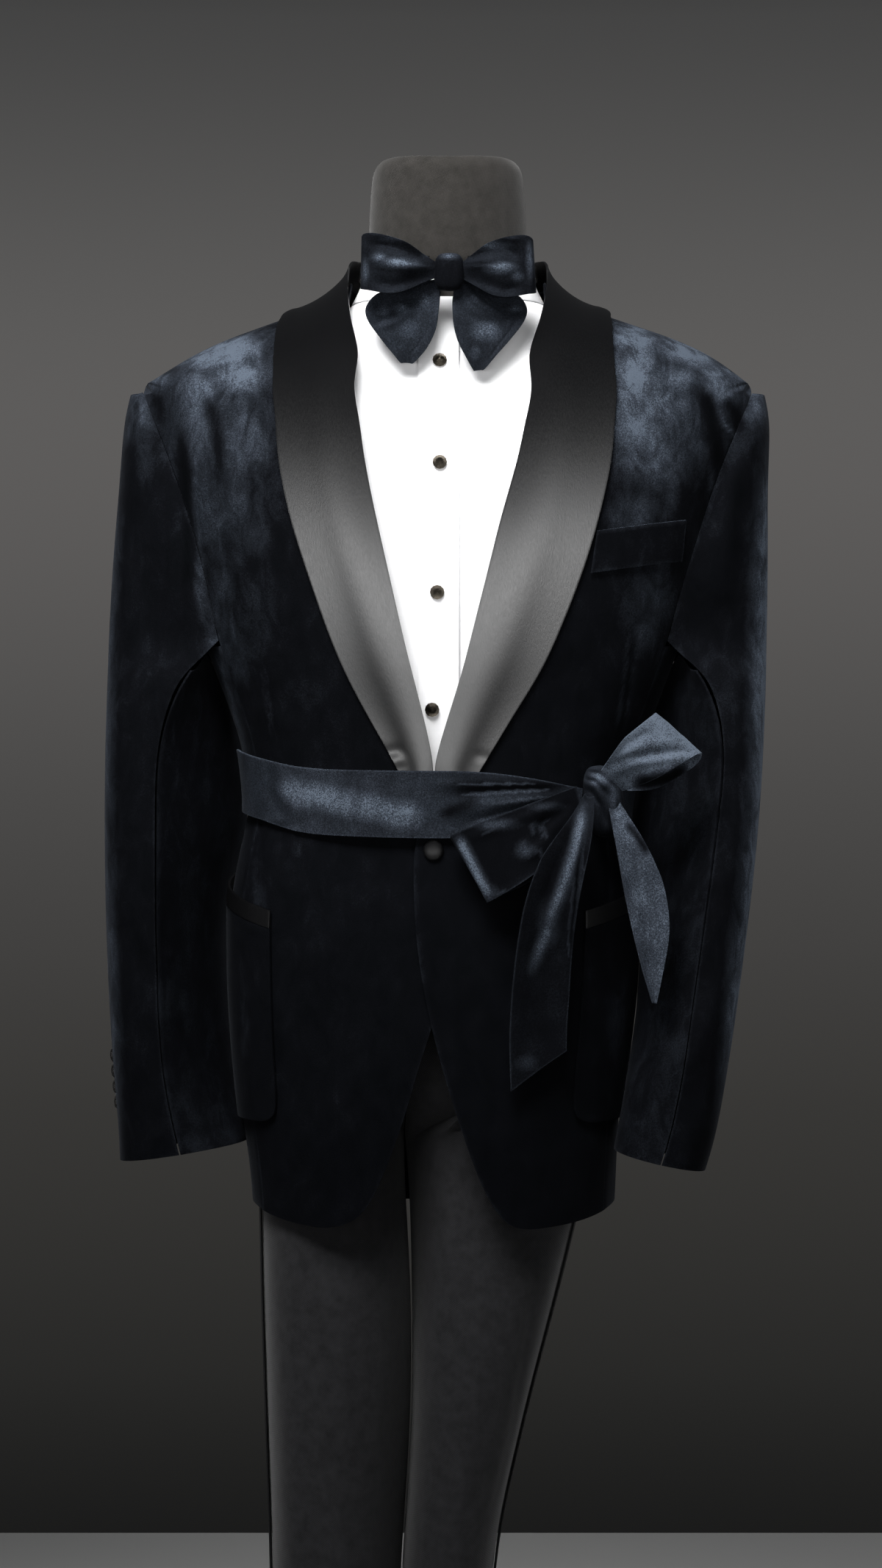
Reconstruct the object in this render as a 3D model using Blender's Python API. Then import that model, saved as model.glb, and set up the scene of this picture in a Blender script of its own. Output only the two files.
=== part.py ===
"""A velvet dinner suit (tuxedo) on a limbless dress form, as separate cut pieces.

The frame is +Z up in metres. The origin is the middle of the stand's foot, on the floor, and the
suit faces -Y. Right and left are the wearer's, so the right side is at -X.

Every piece of cloth is a closed wall over a surface that is worked out from a short table of
sections. A section is a rounded loop at one height, and an angle on it is 0 at the front middle,
90 at +X, 180 at the back and -90 at -X.
"""

import math

import bmesh
import bpy
from mathutils import Vector

# ---- Cloth, seams and trimmings ------------------------------------------------------------
VELVET = 0.0018
SATIN = 0.0014
SHIRTING = 0.0010
SUITING = 0.0012
SEAM = 0.0004

LAPEL_RISE = 0.0036
LAPEL_ROLL = 0.0034
COLLAR_SHOULDER = 8.6
COLLAR_SHOULDER_RISE = 0.0026
OVERLAP_RISE = 0.0030
PATCH_RISE = 0.0036
PLACKET_RISE = 0.0022
SASH_RISE = 0.0046
SASH_FRONT_RISE = 0.0052
KNOT_RISE = 0.0155
STRIPE_RISE = 0.0024
STRIPE_HALF = 0.0110
PLACKET_HALF = 0.0160
SHIRT_MIDDLE = -0.0050

STUD_RADIUS = 0.0057
FRONT_BUTTON_RADIUS = 0.0080
CUFF_BUTTON_RADIUS = 0.0058
CUFF_BUTTON_SPACING = 0.0130
CUFF_BUTTON_LOWEST = 0.826
CUFF_BUTTONS = 4

# ---- The stand -----------------------------------------------------------------------------
FOOT_RADIUS = 0.170
FOOT_THICKNESS = 0.012
POLE_RADIUS = 0.013
FORM_BOTTOM = 0.850
NECK_BOTTOM = 1.500
NECK_TOP = 1.592
NECK_MIDDLE = 0.003
NECK_HALF_WIDTH = 0.0620
NECK_HALF_DEPTH = 0.0590

# ---- Heights on the suit -------------------------------------------------------------------
JACKET_HEM = 0.737
HEM_RISE = 0.014
HEM_RISE_END = 0.800
ARMHOLE_BOTTOM = 1.203
UNDERARM_RISE = 0.016
UNDERARM_INSET = 0.0035
UNDERARM_START = 1.110
UNDERARM_END = 1.178
SHOULDER_POINT = 1.412
CUFF = 0.781
CUFF_RISE = 0.016
TROUSER_TOP = 1.000
WAISTBAND_TOP = 1.036
CROTCH = 0.805
SHIRT_COLLAR_BOTTOM = 1.4768
SHIRT_COLLAR_TOP = 1.519
SHIRT_COLLAR_DIP = 0.017

# Side-body seams of the jacket, in degrees from the front and from the back.
SIDE_SEAM = 66.0

# ---- Section tables: height, left, right, front, back --------------------------------------
JACKET = (
    (0.737, -0.1555, 0.1380, -0.1210, 0.1150),
    (0.780, -0.1590, 0.1400, -0.1230, 0.1160),
    (0.820, -0.1650, 0.1420, -0.1235, 0.1180),
    (0.880, -0.1710, 0.1490, -0.1225, 0.1190),
    (0.950, -0.1745, 0.1560, -0.1190, 0.1140),
    (1.000, -0.1735, 0.1560, -0.1150, 0.1080),
    (1.070, -0.1600, 0.1480, -0.1080, 0.0980),
    (1.120, -0.1660, 0.1620, -0.1110, 0.1040),
    (1.203, -0.1960, 0.1930, -0.1210, 0.1200),
    (1.280, -0.2210, 0.2230, -0.1250, 0.1280),
    (1.340, -0.2390, 0.2420, -0.1220, 0.1280),
    (1.385, -0.2460, 0.2500, -0.1140, 0.1200),
    (1.412, -0.2450, 0.2500, -0.1040, 0.1130),
    (1.430, -0.2160, 0.2260, -0.0960, 0.1060),
    (1.448, -0.1830, 0.1940, -0.0880, 0.0990),
    (1.472, -0.1130, 0.1190, -0.0770, 0.0900),
    (1.495, -0.0775, 0.0835, -0.0660, 0.0800),
    (1.515, -0.0710, 0.0770, -0.0590, 0.0740),
    (1.535, -0.0700, 0.0760, -0.0570, 0.0720),
)
SHIRT = (
    (0.980, -0.1460, 0.1350, -0.0880, 0.0800),
    (1.070, -0.1430, 0.1330, -0.0880, 0.0800),
    (1.150, -0.1530, 0.1480, -0.0980, 0.0900),
    (1.250, -0.1900, 0.1900, -0.1080, 0.1080),
    (1.340, -0.2050, 0.2050, -0.1060, 0.1100),
    (1.400, -0.1980, 0.2000, -0.0920, 0.1000),
    (1.430, -0.1640, 0.1700, -0.0840, 0.0920),
    (1.455, -0.1140, 0.1200, -0.0760, 0.0840),
    (1.475, -0.0780, 0.0840, -0.0700, 0.0780),
    (1.495, -0.0655, 0.0715, -0.0680, 0.0680),
    (1.540, -0.0645, 0.0705, -0.0660, 0.0660),
)
DRESS_FORM = (
    (0.850, -0.1120, 0.1040, -0.0620, 0.0580),
    (0.870, -0.1300, 0.1200, -0.0770, 0.0720),
    (0.980, -0.1380, 0.1270, -0.0790, 0.0730),
    (1.070, -0.1350, 0.1250, -0.0790, 0.0720),
    (1.150, -0.1440, 0.1390, -0.0890, 0.0810),
    (1.250, -0.1790, 0.1790, -0.0990, 0.0990),
    (1.340, -0.1930, 0.1930, -0.0960, 0.1000),
    (1.390, -0.1840, 0.1860, -0.0850, 0.0920),
    (1.420, -0.1480, 0.1540, -0.0740, 0.0820),
    (1.445, -0.1000, 0.1060, -0.0650, 0.0740),
    (1.470, -0.0660, 0.0720, -0.0600, 0.0660),
    (1.4997, -0.0590, 0.0650, -0.0580, 0.0600),
)
# The wearer's right leg: its outer side is the left column, and its inner side the right one.
# Above the crotch the inner side is only a guide, because the middle seam cuts the loop there.
RIGHT_LEG = (
    (0.045, -0.1360, -0.0410, -0.0740, 0.0840),
    (0.250, -0.1380, -0.0390, -0.0780, 0.0840),
    (0.448, -0.1400, -0.0360, -0.0840, 0.0860),
    (0.500, -0.1415, -0.0332, -0.0850, 0.0870),
    (0.550, -0.1435, -0.0287, -0.0860, 0.0880),
    (0.600, -0.1450, -0.0276, -0.0865, 0.0860),
    (0.665, -0.1470, -0.0276, -0.0870, 0.0820),
    (0.740, -0.1485, -0.0300, -0.0870, 0.0800),
    (0.805, -0.1500, -0.0334, -0.0880, 0.0830),
    (0.880, -0.1580, 0.0300, -0.0940, 0.0900),
    (0.950, -0.1610, 0.0800, -0.0980, 0.0920),
    (1.040, -0.1510, 0.1000, -0.0970, 0.0860),
)
LEFT_LEG = (
    (0.045, -0.0400, 0.0380, -0.0740, 0.0840),
    (0.250, -0.0380, 0.0370, -0.0780, 0.0840),
    (0.448, -0.0350, 0.0385, -0.0840, 0.0860),
    (0.500, -0.0320, 0.0470, -0.0850, 0.0870),
    (0.550, -0.0275, 0.0590, -0.0860, 0.0880),
    (0.600, -0.0265, 0.0705, -0.0870, 0.0880),
    (0.665, -0.0265, 0.0880, -0.0870, 0.0820),
    (0.740, -0.0290, 0.1060, -0.0870, 0.0800),
    (0.805, -0.0326, 0.1220, -0.0880, 0.0830),
    (0.880, -0.0900, 0.1340, -0.0940, 0.0900),
    (0.950, -0.1000, 0.1430, -0.0980, 0.0920),
    (1.040, -0.1100, 0.1400, -0.0970, 0.0860),
)
# Where the trousers' middle seam runs: height, across.
MIDDLE_SEAM = (
    (0.805, -0.033),
    (0.900, -0.024),
    (1.040, -0.006),
)
# The sleeve tubes below the armhole: height, seam, outer, inner, front, back, and the depth of the
# fold next to the body. Above it the front and back columns of ARMHOLE take over, and only the
# outer column is used.
RIGHT_SLEEVE = (
    (0.781, -0.214, -0.2660, -0.1680, -0.0440, 0.0700, 0.0180),
    (0.820, -0.222, -0.2680, -0.1755, -0.0460, 0.0720, 0.0400),
    (0.860, -0.228, -0.2715, -0.1815, -0.0480, 0.0740, 0.0480),
    (0.950, -0.232, -0.2765, -0.1845, -0.0520, 0.0760, 0.0560),
    (1.053, -0.232, -0.2780, -0.1680, -0.0580, 0.0740, 0.0600),
    (1.130, -0.228, -0.2768, -0.1745, -0.0620, 0.0700, 0.0550),
    (1.180, -0.206, -0.2750, -0.1965, -0.0610, 0.0640, 0.0140),
    (1.203, -0.1820, -0.2745, -0.1980, -0.0550, 0.0550, 0.0),
    (1.268, -0.200, -0.2710, -0.2010, -0.0550, 0.0550, 0.0),
    (1.334, -0.218, -0.2655, -0.2010, -0.0550, 0.0550, 0.0),
    (1.385, -0.238, -0.2610, -0.2010, -0.0550, 0.0550, 0.0),
    (1.412, -0.246, -0.2540, -0.2010, -0.0550, 0.0550, 0.0),
)
LEFT_SLEEVE = (
    (0.781, 0.170, 0.2080, 0.1360, -0.1240, -0.0060, -0.0650),
    (0.820, 0.181, 0.2190, 0.1430, -0.1220, -0.0020, -0.0580),
    (0.880, 0.191, 0.2290, 0.1550, -0.1180, 0.0040, -0.0420),
    (0.935, 0.199, 0.2380, 0.1620, -0.1120, 0.0120, -0.0150),
    (1.053, 0.216, 0.2530, 0.1570, -0.0960, 0.0320, 0.0500),
    (1.130, 0.222, 0.2590, 0.1700, -0.0800, 0.0500, 0.0500),
    (1.180, 0.204, 0.2620, 0.1940, -0.0660, 0.0600, 0.0100),
    (1.203, 0.1790, 0.2630, 0.1955, -0.0550, 0.0550, 0.0),
    (1.268, 0.200, 0.2640, 0.1980, -0.0550, 0.0550, 0.0),
    (1.334, 0.218, 0.2640, 0.1980, -0.0550, 0.0550, 0.0),
    (1.385, 0.238, 0.2650, 0.1980, -0.0550, 0.0550, 0.0),
    (1.412, 0.246, 0.2590, 0.1980, -0.0550, 0.0550, 0.0),
)
# The edge of the jacket's armhole: height, front, back.
ARMHOLE = (
    (1.203, -0.0550, 0.0550),
    (1.240, -0.0620, 0.0660),
    (1.287, -0.0640, 0.0720),
    (1.330, -0.0600, 0.0700),
    (1.364, -0.0500, 0.0600),
    (1.390, -0.0340, 0.0430),
    (1.404, -0.0200, 0.0250),
    (1.412, -0.0080, 0.0100),
)
SHIRT_ARMHOLE = (
    (1.220, -0.0020, 0.0020),
    (1.250, -0.0400, 0.0400),
    (1.300, -0.0520, 0.0540),
    (1.350, -0.0460, 0.0500),
    (1.385, -0.0280, 0.0320),
    (1.400, -0.0040, 0.0040),
)
# Front edges of the jacket, from the rounded hem to the neck: height, across.
RIGHT_FRONT_EDGE = (
    (0.737, -0.096),
    (0.741, -0.080),
    (0.752, -0.064),
    (0.778, -0.050),
    (0.820, -0.034),
    (0.862, -0.022),
    (0.905, -0.008),
    (0.955, 0.005),
    (1.050, 0.004),
    (1.072, -0.014),
    (1.094, -0.017),
    (1.142, -0.022),
    (1.185, -0.033),
    (1.241, -0.046),
    (1.294, -0.058),
    (1.349, -0.069),
    (1.401, -0.078),
    (1.460, -0.078),
    (1.494, -0.076),
)
LEFT_FRONT_EDGE = (
    (0.737, 0.066),
    (0.741, 0.052),
    (0.752, 0.041),
    (0.778, 0.027),
    (0.820, 0.012),
    (0.862, -0.001),
    (0.905, -0.012),
    (0.955, -0.021),
    (1.050, -0.022),
    (1.072, -0.006),
    (1.094, 0.003),
    (1.142, 0.008),
    (1.185, 0.021),
    (1.241, 0.035),
    (1.294, 0.048),
    (1.346, 0.063),
    (1.400, 0.075),
    (1.460, 0.080),
    (1.494, 0.081),
)
# The shawl collar over the front: inner edge across and height, outer edge across and height.
RIGHT_LAPEL = (
    (-0.0096, 1.092, -0.0330, 1.091),
    (-0.0096, 1.106, -0.0395, 1.105),
    (-0.0170, 1.142, -0.0600, 1.142),
    (-0.0280, 1.185, -0.0830, 1.187),
    (-0.0410, 1.241, -0.1050, 1.248),
    (-0.0530, 1.294, -0.1210, 1.298),
    (-0.0640, 1.349, -0.1315, 1.352),
    (-0.0730, 1.401, -0.1360, 1.400),
    (-0.0740, 1.450, -0.1350, 1.436),
)
LEFT_LAPEL = (
    (-0.0072, 1.092, 0.0230, 1.091),
    (-0.0072, 1.106, 0.0310, 1.105),
    (0.0030, 1.142, 0.0530, 1.142),
    (0.0160, 1.185, 0.0790, 1.185),
    (0.0300, 1.241, 0.1030, 1.243),
    (0.0430, 1.294, 0.1200, 1.297),
    (0.0580, 1.346, 0.1315, 1.350),
    (0.0700, 1.400, 0.1360, 1.402),
    (0.0750, 1.450, 0.1350, 1.440),
)
# The collar from the shoulder to the middle of the back, as angles from the front.
COLLAR_BACK = (
    (84.0, 1.510, 88.0, 1.468),
    (110.0, 1.518, 112.0, 1.462),
    (145.0, 1.523, 146.0, 1.456),
    (180.0, 1.525, 180.0, 1.453),
)
# The sash: angle, top, bottom. It narrows where the knot gathers it.
SASH = (
    (-100.0, 1.119, 1.067),
    (-84.0, 1.117, 1.065),
    (-60.0, 1.109, 1.059),
    (-38.0, 1.101, 1.049),
    (-10.0, 1.099, 1.045),
    (9.0, 1.098, 1.045),
    (29.0, 1.091, 1.050),
    (43.0, 1.085, 1.062),
    (57.0, 1.088, 1.062),
    (80.0, 1.106, 1.056),
    (120.0, 1.112, 1.056),
    (180.0, 1.116, 1.060),
    (276.0, 1.117, 1.065),
)
SASH_KNOT_ANGLE = 50.0
SASH_KNOT_HEIGHT = 1.073
SASH_KNOT_SIZE = (0.0165, 0.0125, 0.0245)

# Ribbons: one edge's across, depth and height, then the other edge's, a row for each station.
UPPER_SASH_LOOP = (
    (0.1235, -0.1180, 1.0985, 0.1400, -0.1120, 1.0830),
    (0.1420, -0.1370, 1.1200, 0.1660, -0.1330, 1.0930),
    (0.1620, -0.1350, 1.1395, 0.1960, -0.1300, 1.1110),
    (0.1660, -0.1245, 1.1430, 0.2005, -0.1200, 1.1090),
    (0.1620, -0.1145, 1.1370, 0.1945, -0.1115, 1.1010),
    (0.1500, -0.1060, 1.1180, 0.1680, -0.1030, 1.0850),
    (0.1400, -0.0960, 1.0980, 0.1450, -0.0930, 1.0830),
)
LOWER_SASH_LOOP = (
    (0.1030, -0.1240, 1.0860, 0.1080, -0.1240, 1.0640),
    (0.0620, -0.1430, 1.0710, 0.0780, -0.1420, 1.0250),
    (0.0130, -0.1420, 1.0520, 0.0390, -0.1400, 0.9990),
    (0.0050, -0.1350, 1.0470, 0.0335, -0.1330, 0.9965),
    (0.0110, -0.1280, 1.0490, 0.0400, -0.1260, 1.0000),
    (0.0600, -0.1260, 1.0620, 0.0760, -0.1210, 1.0180),
    (0.0960, -0.1160, 1.0740, 0.1020, -0.1160, 1.0600),
)
LONG_TAIL = (
    (0.1040, -0.1400, 1.0650, 0.1180, -0.1380, 1.0640),
    (0.0800, -0.1500, 1.0400, 0.1130, -0.1460, 1.0400),
    (0.0640, -0.1490, 1.0020, 0.1050, -0.1420, 1.0020),
    (0.0560, -0.1400, 0.9600, 0.0995, -0.1300, 0.9600),
    (0.0520, -0.1340, 0.9200, 0.0970, -0.1240, 0.9200),
    (0.0505, -0.1320, 0.8850, 0.0955, -0.1220, 0.9000),
    (0.0515, -0.1320, 0.8480, 0.0950, -0.1220, 0.8790),
)
SHORT_TAIL = (
    (0.1330, -0.1180, 1.0460, 0.1460, -0.1120, 1.0480),
    (0.1360, -0.1260, 1.0300, 0.1620, -0.1200, 1.0320),
    (0.1400, -0.1270, 1.0050, 0.1720, -0.1220, 1.0050),
    (0.1465, -0.1280, 0.9740, 0.1755, -0.1270, 0.9740),
    (0.1540, -0.1280, 0.9440, 0.1710, -0.1280, 0.9440),
    (0.1620, -0.1280, 0.9170, 0.1655, -0.1280, 0.9165),
)
RIGHT_BOW_LOOP = (
    (-0.0085, -0.1040, 1.4980, -0.0085, -0.1040, 1.4880),
    (-0.0300, -0.1160, 1.5130, -0.0360, -0.1150, 1.4740),
    (-0.0570, -0.1140, 1.5205, -0.0590, -0.1120, 1.4760),
    (-0.0645, -0.1080, 1.5190, -0.0655, -0.1060, 1.4780),
    (-0.0600, -0.1010, 1.5160, -0.0600, -0.0990, 1.4780),
    (-0.0350, -0.0980, 1.5080, -0.0350, -0.0970, 1.4780),
    (-0.0085, -0.0970, 1.4970, -0.0085, -0.0960, 1.4880),
)
LEFT_BOW_LOOP = (
    (0.0155, -0.1040, 1.4980, 0.0155, -0.1040, 1.4870),
    (0.0330, -0.1160, 1.5120, 0.0400, -0.1150, 1.4710),
    (0.0600, -0.1140, 1.5190, 0.0640, -0.1120, 1.4730),
    (0.0685, -0.1080, 1.5160, 0.0710, -0.1060, 1.4750),
    (0.0640, -0.1010, 1.5130, 0.0660, -0.0990, 1.4750),
    (0.0400, -0.0980, 1.5060, 0.0400, -0.0970, 1.4760),
    (0.0155, -0.0970, 1.4970, 0.0155, -0.0960, 1.4870),
)
RIGHT_BOW_TAIL = (
    (-0.0160, -0.0900, 1.4830, -0.0065, -0.0930, 1.4830),
    (-0.0500, -0.0880, 1.4780, -0.0055, -0.0980, 1.4700),
    (-0.0630, -0.0930, 1.4620, -0.0055, -0.1020, 1.4560),
    (-0.0545, -0.0990, 1.4450, -0.0085, -0.1030, 1.4430),
    (-0.0430, -0.1010, 1.4300, -0.0155, -0.1020, 1.4300),
    (-0.0350, -0.1000, 1.4205, -0.0250, -0.1000, 1.4200),
)
LEFT_BOW_TAIL = (
    (0.0135, -0.0930, 1.4830, 0.0240, -0.0900, 1.4830),
    (0.0080, -0.0980, 1.4700, 0.0560, -0.0880, 1.4760),
    (0.0065, -0.1020, 1.4560, 0.0650, -0.0930, 1.4600),
    (0.0095, -0.1030, 1.4400, 0.0540, -0.0990, 1.4420),
    (0.0155, -0.1020, 1.4270, 0.0430, -0.1010, 1.4290),
    (0.0230, -0.1000, 1.4140, 0.0310, -0.1000, 1.4150),
)
BOW_KNOT_CENTRE = (0.0035, -0.1030, 1.4915)
BOW_KNOT_SIZE = (0.0108, 0.0085, 0.0150)

# Shirt studs on the placket: across, height.
STUDS = (
    (-0.004, 1.423),
    (-0.004, 1.341),
    (-0.006, 1.239),
    (-0.010, 1.147),
)
FRONT_BUTTON = (-0.009, 1.0355)

# Patch pockets on the skirts: the front and the back edge in degrees from the front.
POCKET_FRONT = {"right": 48.0, "left": 43.0}
POCKET_WIDTH = 58.0
POCKET_BOTTOM = 0.820
POCKET_TOP = 0.973
POCKET_SLANT = 0.030
POCKET_CORNER = 0.020
POCKET_TRIM = 0.014

# The breast welt's corners on the wearer's left: across and height, bottom then top.
BREAST_WELT = ((0.114, 1.254, 0.187, 1.266), (0.119, 1.287, 0.190, 1.298))

# Rows of the cut pieces, from the hem up. The armhole rows are shared with the sleeves, so that
# a sleeve's head meets the armhole edge to edge.
SKIRT_ROWS = (0.737, 0.741, 0.752, 0.778, 0.820, 0.862, 0.905, 0.955, 1.005, 1.050, 1.072)
CHEST_ROWS = (1.094, 1.130, 1.165, 1.203)
ARMHOLE_ROWS = (1.203, 1.240, 1.285, 1.325, 1.358, 1.384, 1.403)
SHOULDER_ROWS = (1.413, 1.427, 1.448, 1.472, 1.494)
SLEEVE_ROWS = (0.781, 0.810, 0.855, 0.910, 0.980, 1.050, 1.110, 1.155, UNDERARM_END)
BACK_ROWS = (0.737,) + SKIRT_ROWS[3:] + CHEST_ROWS
SIDE_ROWS = BACK_ROWS[:-1] + (1.198,)
LEG_ROWS = (0.045, 0.200, 0.340, 0.448, 0.530, 0.605, 0.680, 0.755, 0.805, 0.830, 0.865,
            0.930, 1.000)
SHIRT_ROWS = (0.990, 1.080, 1.160, 1.220, 1.250, 1.300, 1.350, 1.385, 1.400, 1.424, 1.450,
              1.476)

BODY_POWER = 2.3
LEG_POWER = 2.3
SLEEVE_POWER = 2.1
FORM_POWER = 2.3


# ---- Tables and surfaces -------------------------------------------------------------------
def table_at(table, key):
    """Reads a table at a key with a smooth curve through its rows, held flat past its ends."""
    if key <= table[0][0]:
        return table[0][1:]
    if key >= table[-1][0]:
        return table[-1][1:]
    low = max(i for i in range(len(table) - 1) if table[i][0] <= key)
    before = table[max(low - 1, 0)]
    start = table[low]
    end = table[low + 1]
    after = table[min(low + 2, len(table) - 1)]
    span = end[0] - start[0]
    t = (key - start[0]) / span
    values = []
    for column in range(1, len(start)):
        slope_in = (end[column] - before[column]) / (end[0] - before[0]) * span
        slope_out = (after[column] - start[column]) / (after[0] - start[0]) * span
        values.append(
            (2 * t**3 - 3 * t**2 + 1) * start[column]
            + (t**3 - 2 * t**2 + t) * slope_in
            + (3 * t**2 - 2 * t**3) * end[column]
            + (t**3 - t**2) * slope_out
        )
    return tuple(values)


def signed_power(value, power):
    return math.copysign(abs(value) ** power, value)


def section_surface(table, power):
    """A surface over a section table, as a function of an angle and a height."""

    def surface(angle, z):
        left, right, front, back = table_at(table, z)
        sine = math.sin(math.radians(angle))
        cosine = math.cos(math.radians(angle))
        x = (left + right) / 2 + (right - left) / 2 * signed_power(sine, 2 / power)
        y = (front + back) / 2 - (back - front) / 2 * signed_power(cosine, 2 / power)
        return Vector((x, y, z))

    return surface


def front_angle(table, power, x, z):
    """The angle on the front half of a section where it is at x across."""
    left, right = table_at(table, z)[:2]
    share = max(-1.0, min(1.0, (x - (left + right) / 2) / ((right - left) / 2)))
    return math.degrees(math.asin(signed_power(share, power / 2)))


def depth_angle(table, power, y, z):
    """The angle on the +X half of a section where it is at the depth y."""
    front, back = table_at(table, z)[2:4]
    share = max(-1.0, min(1.0, ((front + back) / 2 - y) / ((back - front) / 2)))
    return math.degrees(math.acos(signed_power(share, power / 2)))


def normal_of(surface, u, v, step_u=0.4, step_v=0.002):
    along_u = surface(u + step_u, v) - surface(u - step_u, v)
    along_v = surface(u, v + step_v) - surface(u, v - step_v)
    return along_u.cross(along_v).normalized()


def lifted(surface, u, v, rise):
    return surface(u, v) + normal_of(surface, u, v) * rise


def set_back(surface, angle, z, distance):
    """Moves an angle along its section by a distance, to leave a seam's gap."""
    step = math.copysign(0.2, distance)
    here = surface(angle, z)
    for _ in range(3):
        moved = (surface(angle + step, z) - here).length
        step *= abs(distance) / moved
    return angle + step


def smooth_step(value, low, high):
    t = max(0.0, min(1.0, (value - low) / (high - low)))
    return t * t * (3 - 2 * t)


# ---- Meshes --------------------------------------------------------------------------------
def add_object(name, mesh, material):
    piece = bpy.data.objects.new(name, mesh)
    bpy.context.collection.objects.link(piece)
    piece.data.materials.append(material)
    return piece


def finish_mesh(name, model, material, smooth_angle=40.0):
    bmesh.ops.recalc_face_normals(model, faces=model.faces)
    mesh = bpy.data.meshes.new(name)
    model.to_mesh(mesh)
    model.free()
    mesh.shade_smooth()
    mesh.set_sharp_from_angle(angle=math.radians(smooth_angle))
    return add_object(name, mesh, material)


def cloth_wall(name, outer, inner, material):
    """Joins an outer and an inner grid of points, row by row, into one closed wall."""
    model = bmesh.new()
    faces = [[[model.verts.new(p) for p in row] for row in grid] for grid in (outer, inner)]
    rows = len(outer) - 1
    columns = len(outer[0]) - 1
    for top, bottom in zip(range(rows), range(1, rows + 1)):
        for left, right in zip(range(columns), range(1, columns + 1)):
            for grid in faces:
                model.faces.new(
                    (grid[top][left], grid[top][right], grid[bottom][right], grid[bottom][left])
                )
    rim = [(0, c) for c in range(columns)] + [(r, columns) for r in range(rows)]
    rim += [(rows, c) for c in range(columns, 0, -1)] + [(r, 0) for r in range(rows, 0, -1)]
    for here, there in zip(rim, rim[1:] + rim[:1]):
        model.faces.new(
            (faces[0][here[0]][here[1]], faces[0][there[0]][there[1]],
             faces[1][there[0]][there[1]], faces[1][here[0]][here[1]])
        )
    return finish_mesh(name, model, material)


def panel(name, surface, rows, span, columns, wall, material, lift=None):
    """A cut piece of cloth on a surface. span(z) gives its two edges, lift its distance out."""
    outer, inner = [], []
    for z in rows:
        start, end = span(z)
        outer_row, inner_row = [], []
        for column in range(columns + 1):
            angle = start + (end - start) * column / columns
            rise = lift(angle, z) if lift else 0.0
            outer_row.append(lifted(surface, angle, z, rise))
            inner_row.append(lifted(surface, angle, z, rise - wall))
        outer.append(outer_row)
        inner.append(inner_row)
    return cloth_wall(name, outer, inner, material)


def ribbon(name, stations, columns, wall, material, crown=0.0, steps=2):
    """A strip of cloth between two edges, rounded outwards by its crown."""
    keyed = tuple((float(i),) + row for i, row in enumerate(stations))

    def surface(along, across):
        edges = table_at(keyed, along)
        near, far = Vector(edges[:3]), Vector(edges[3:])
        return near.lerp(far, across)

    outer, inner = [], []
    last = (len(stations) - 1) * steps
    for step in range(last + 1):
        along = step / steps
        inside = min(max(along, 0.01), len(stations) - 1.01)
        outer_row, inner_row = [], []
        for column in range(columns + 1):
            across = column / columns
            normal = normal_of(surface, inside, across, 0.01, 0.01)
            bulge = crown * math.sin(math.pi * across)
            centre = surface(along, across) + normal * bulge
            outer_row.append(centre + normal * wall / 2)
            inner_row.append(centre - normal * wall / 2)
        outer.append(outer_row)
        inner.append(inner_row)
    return cloth_wall(name, outer, inner, material)


def closed_body(name, loops, bottom, top, material):
    """A solid through loops of points, closed at both ends by a fan to a point."""
    model = bmesh.new()
    rings = [[model.verts.new(p) for p in loop] for loop in loops]
    for low, high in zip(rings, rings[1:]):
        for i in range(len(low)):
            j = (i + 1) % len(low)
            model.faces.new((low[i], low[j], high[j], high[i]))
    for ring, centre in ((rings[0], bottom), (rings[-1], top)):
        middle = model.verts.new(centre)
        for i in range(len(ring)):
            model.faces.new((ring[i], ring[(i + 1) % len(ring)], middle))
    return finish_mesh(name, model, material)


def turned_button(name, radius, profile, place, axis, material, sides=14):
    """A round button or stud: a profile of (radius share, height) turned about its axis."""
    turn = Vector((0, 0, 1)).rotation_difference(axis)
    loops = []
    for share, height in profile:
        loop = []
        for i in range(sides):
            angle = 2 * math.pi * i / sides
            point = Vector((math.cos(angle) * radius * share, math.sin(angle) * radius * share, height))
            loop.append(place + turn @ point)
        loops.append(loop)
    foot = place + turn @ Vector((0, 0, profile[0][1]))
    tip = place + turn @ Vector((0, 0, profile[-1][1] + 0.0004))
    return closed_body(name, loops, foot, tip, material)


def rounded_knot(name, centre, size, turn, material, sides=14, rings=7):
    """A gathered knot: a squarish rounded solid, a little flattened front to back."""
    loops = []
    for ring in range(1, rings):
        latitude = math.pi * ring / rings - math.pi / 2
        height = signed_power(math.sin(latitude), 0.8) * size[2]
        reach = math.cos(latitude) ** 0.55
        loop = []
        for i in range(sides):
            angle = 2 * math.pi * i / sides
            x = signed_power(math.cos(angle), 0.8) * size[0] * reach
            y = signed_power(math.sin(angle), 0.8) * size[1] * reach
            c, s = math.cos(turn), math.sin(turn)
            loop.append(Vector(centre) + Vector((x * c - y * s, x * s + y * c, height)))
        loops.append(loop)
    low = Vector(centre) - Vector((0, 0, size[2]))
    high = Vector(centre) + Vector((0, 0, size[2]))
    return closed_body(name, loops, low, high, material)


def make_material(name, colour, roughness, metallic=0.0):
    material = bpy.data.materials.new(name)
    material.use_nodes = True
    shader = material.node_tree.nodes["Principled BSDF"]
    shader.inputs["Base Color"].default_value = (*colour, 1.0)
    shader.inputs["Roughness"].default_value = roughness
    shader.inputs["Metallic"].default_value = metallic
    material.diffuse_color = (*colour, 1.0)
    return material


# ---- The jacket ----------------------------------------------------------------------------
SIDES = {"right": -1.0, "left": 1.0}
jacket_surface = section_surface(JACKET, BODY_POWER)


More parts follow.
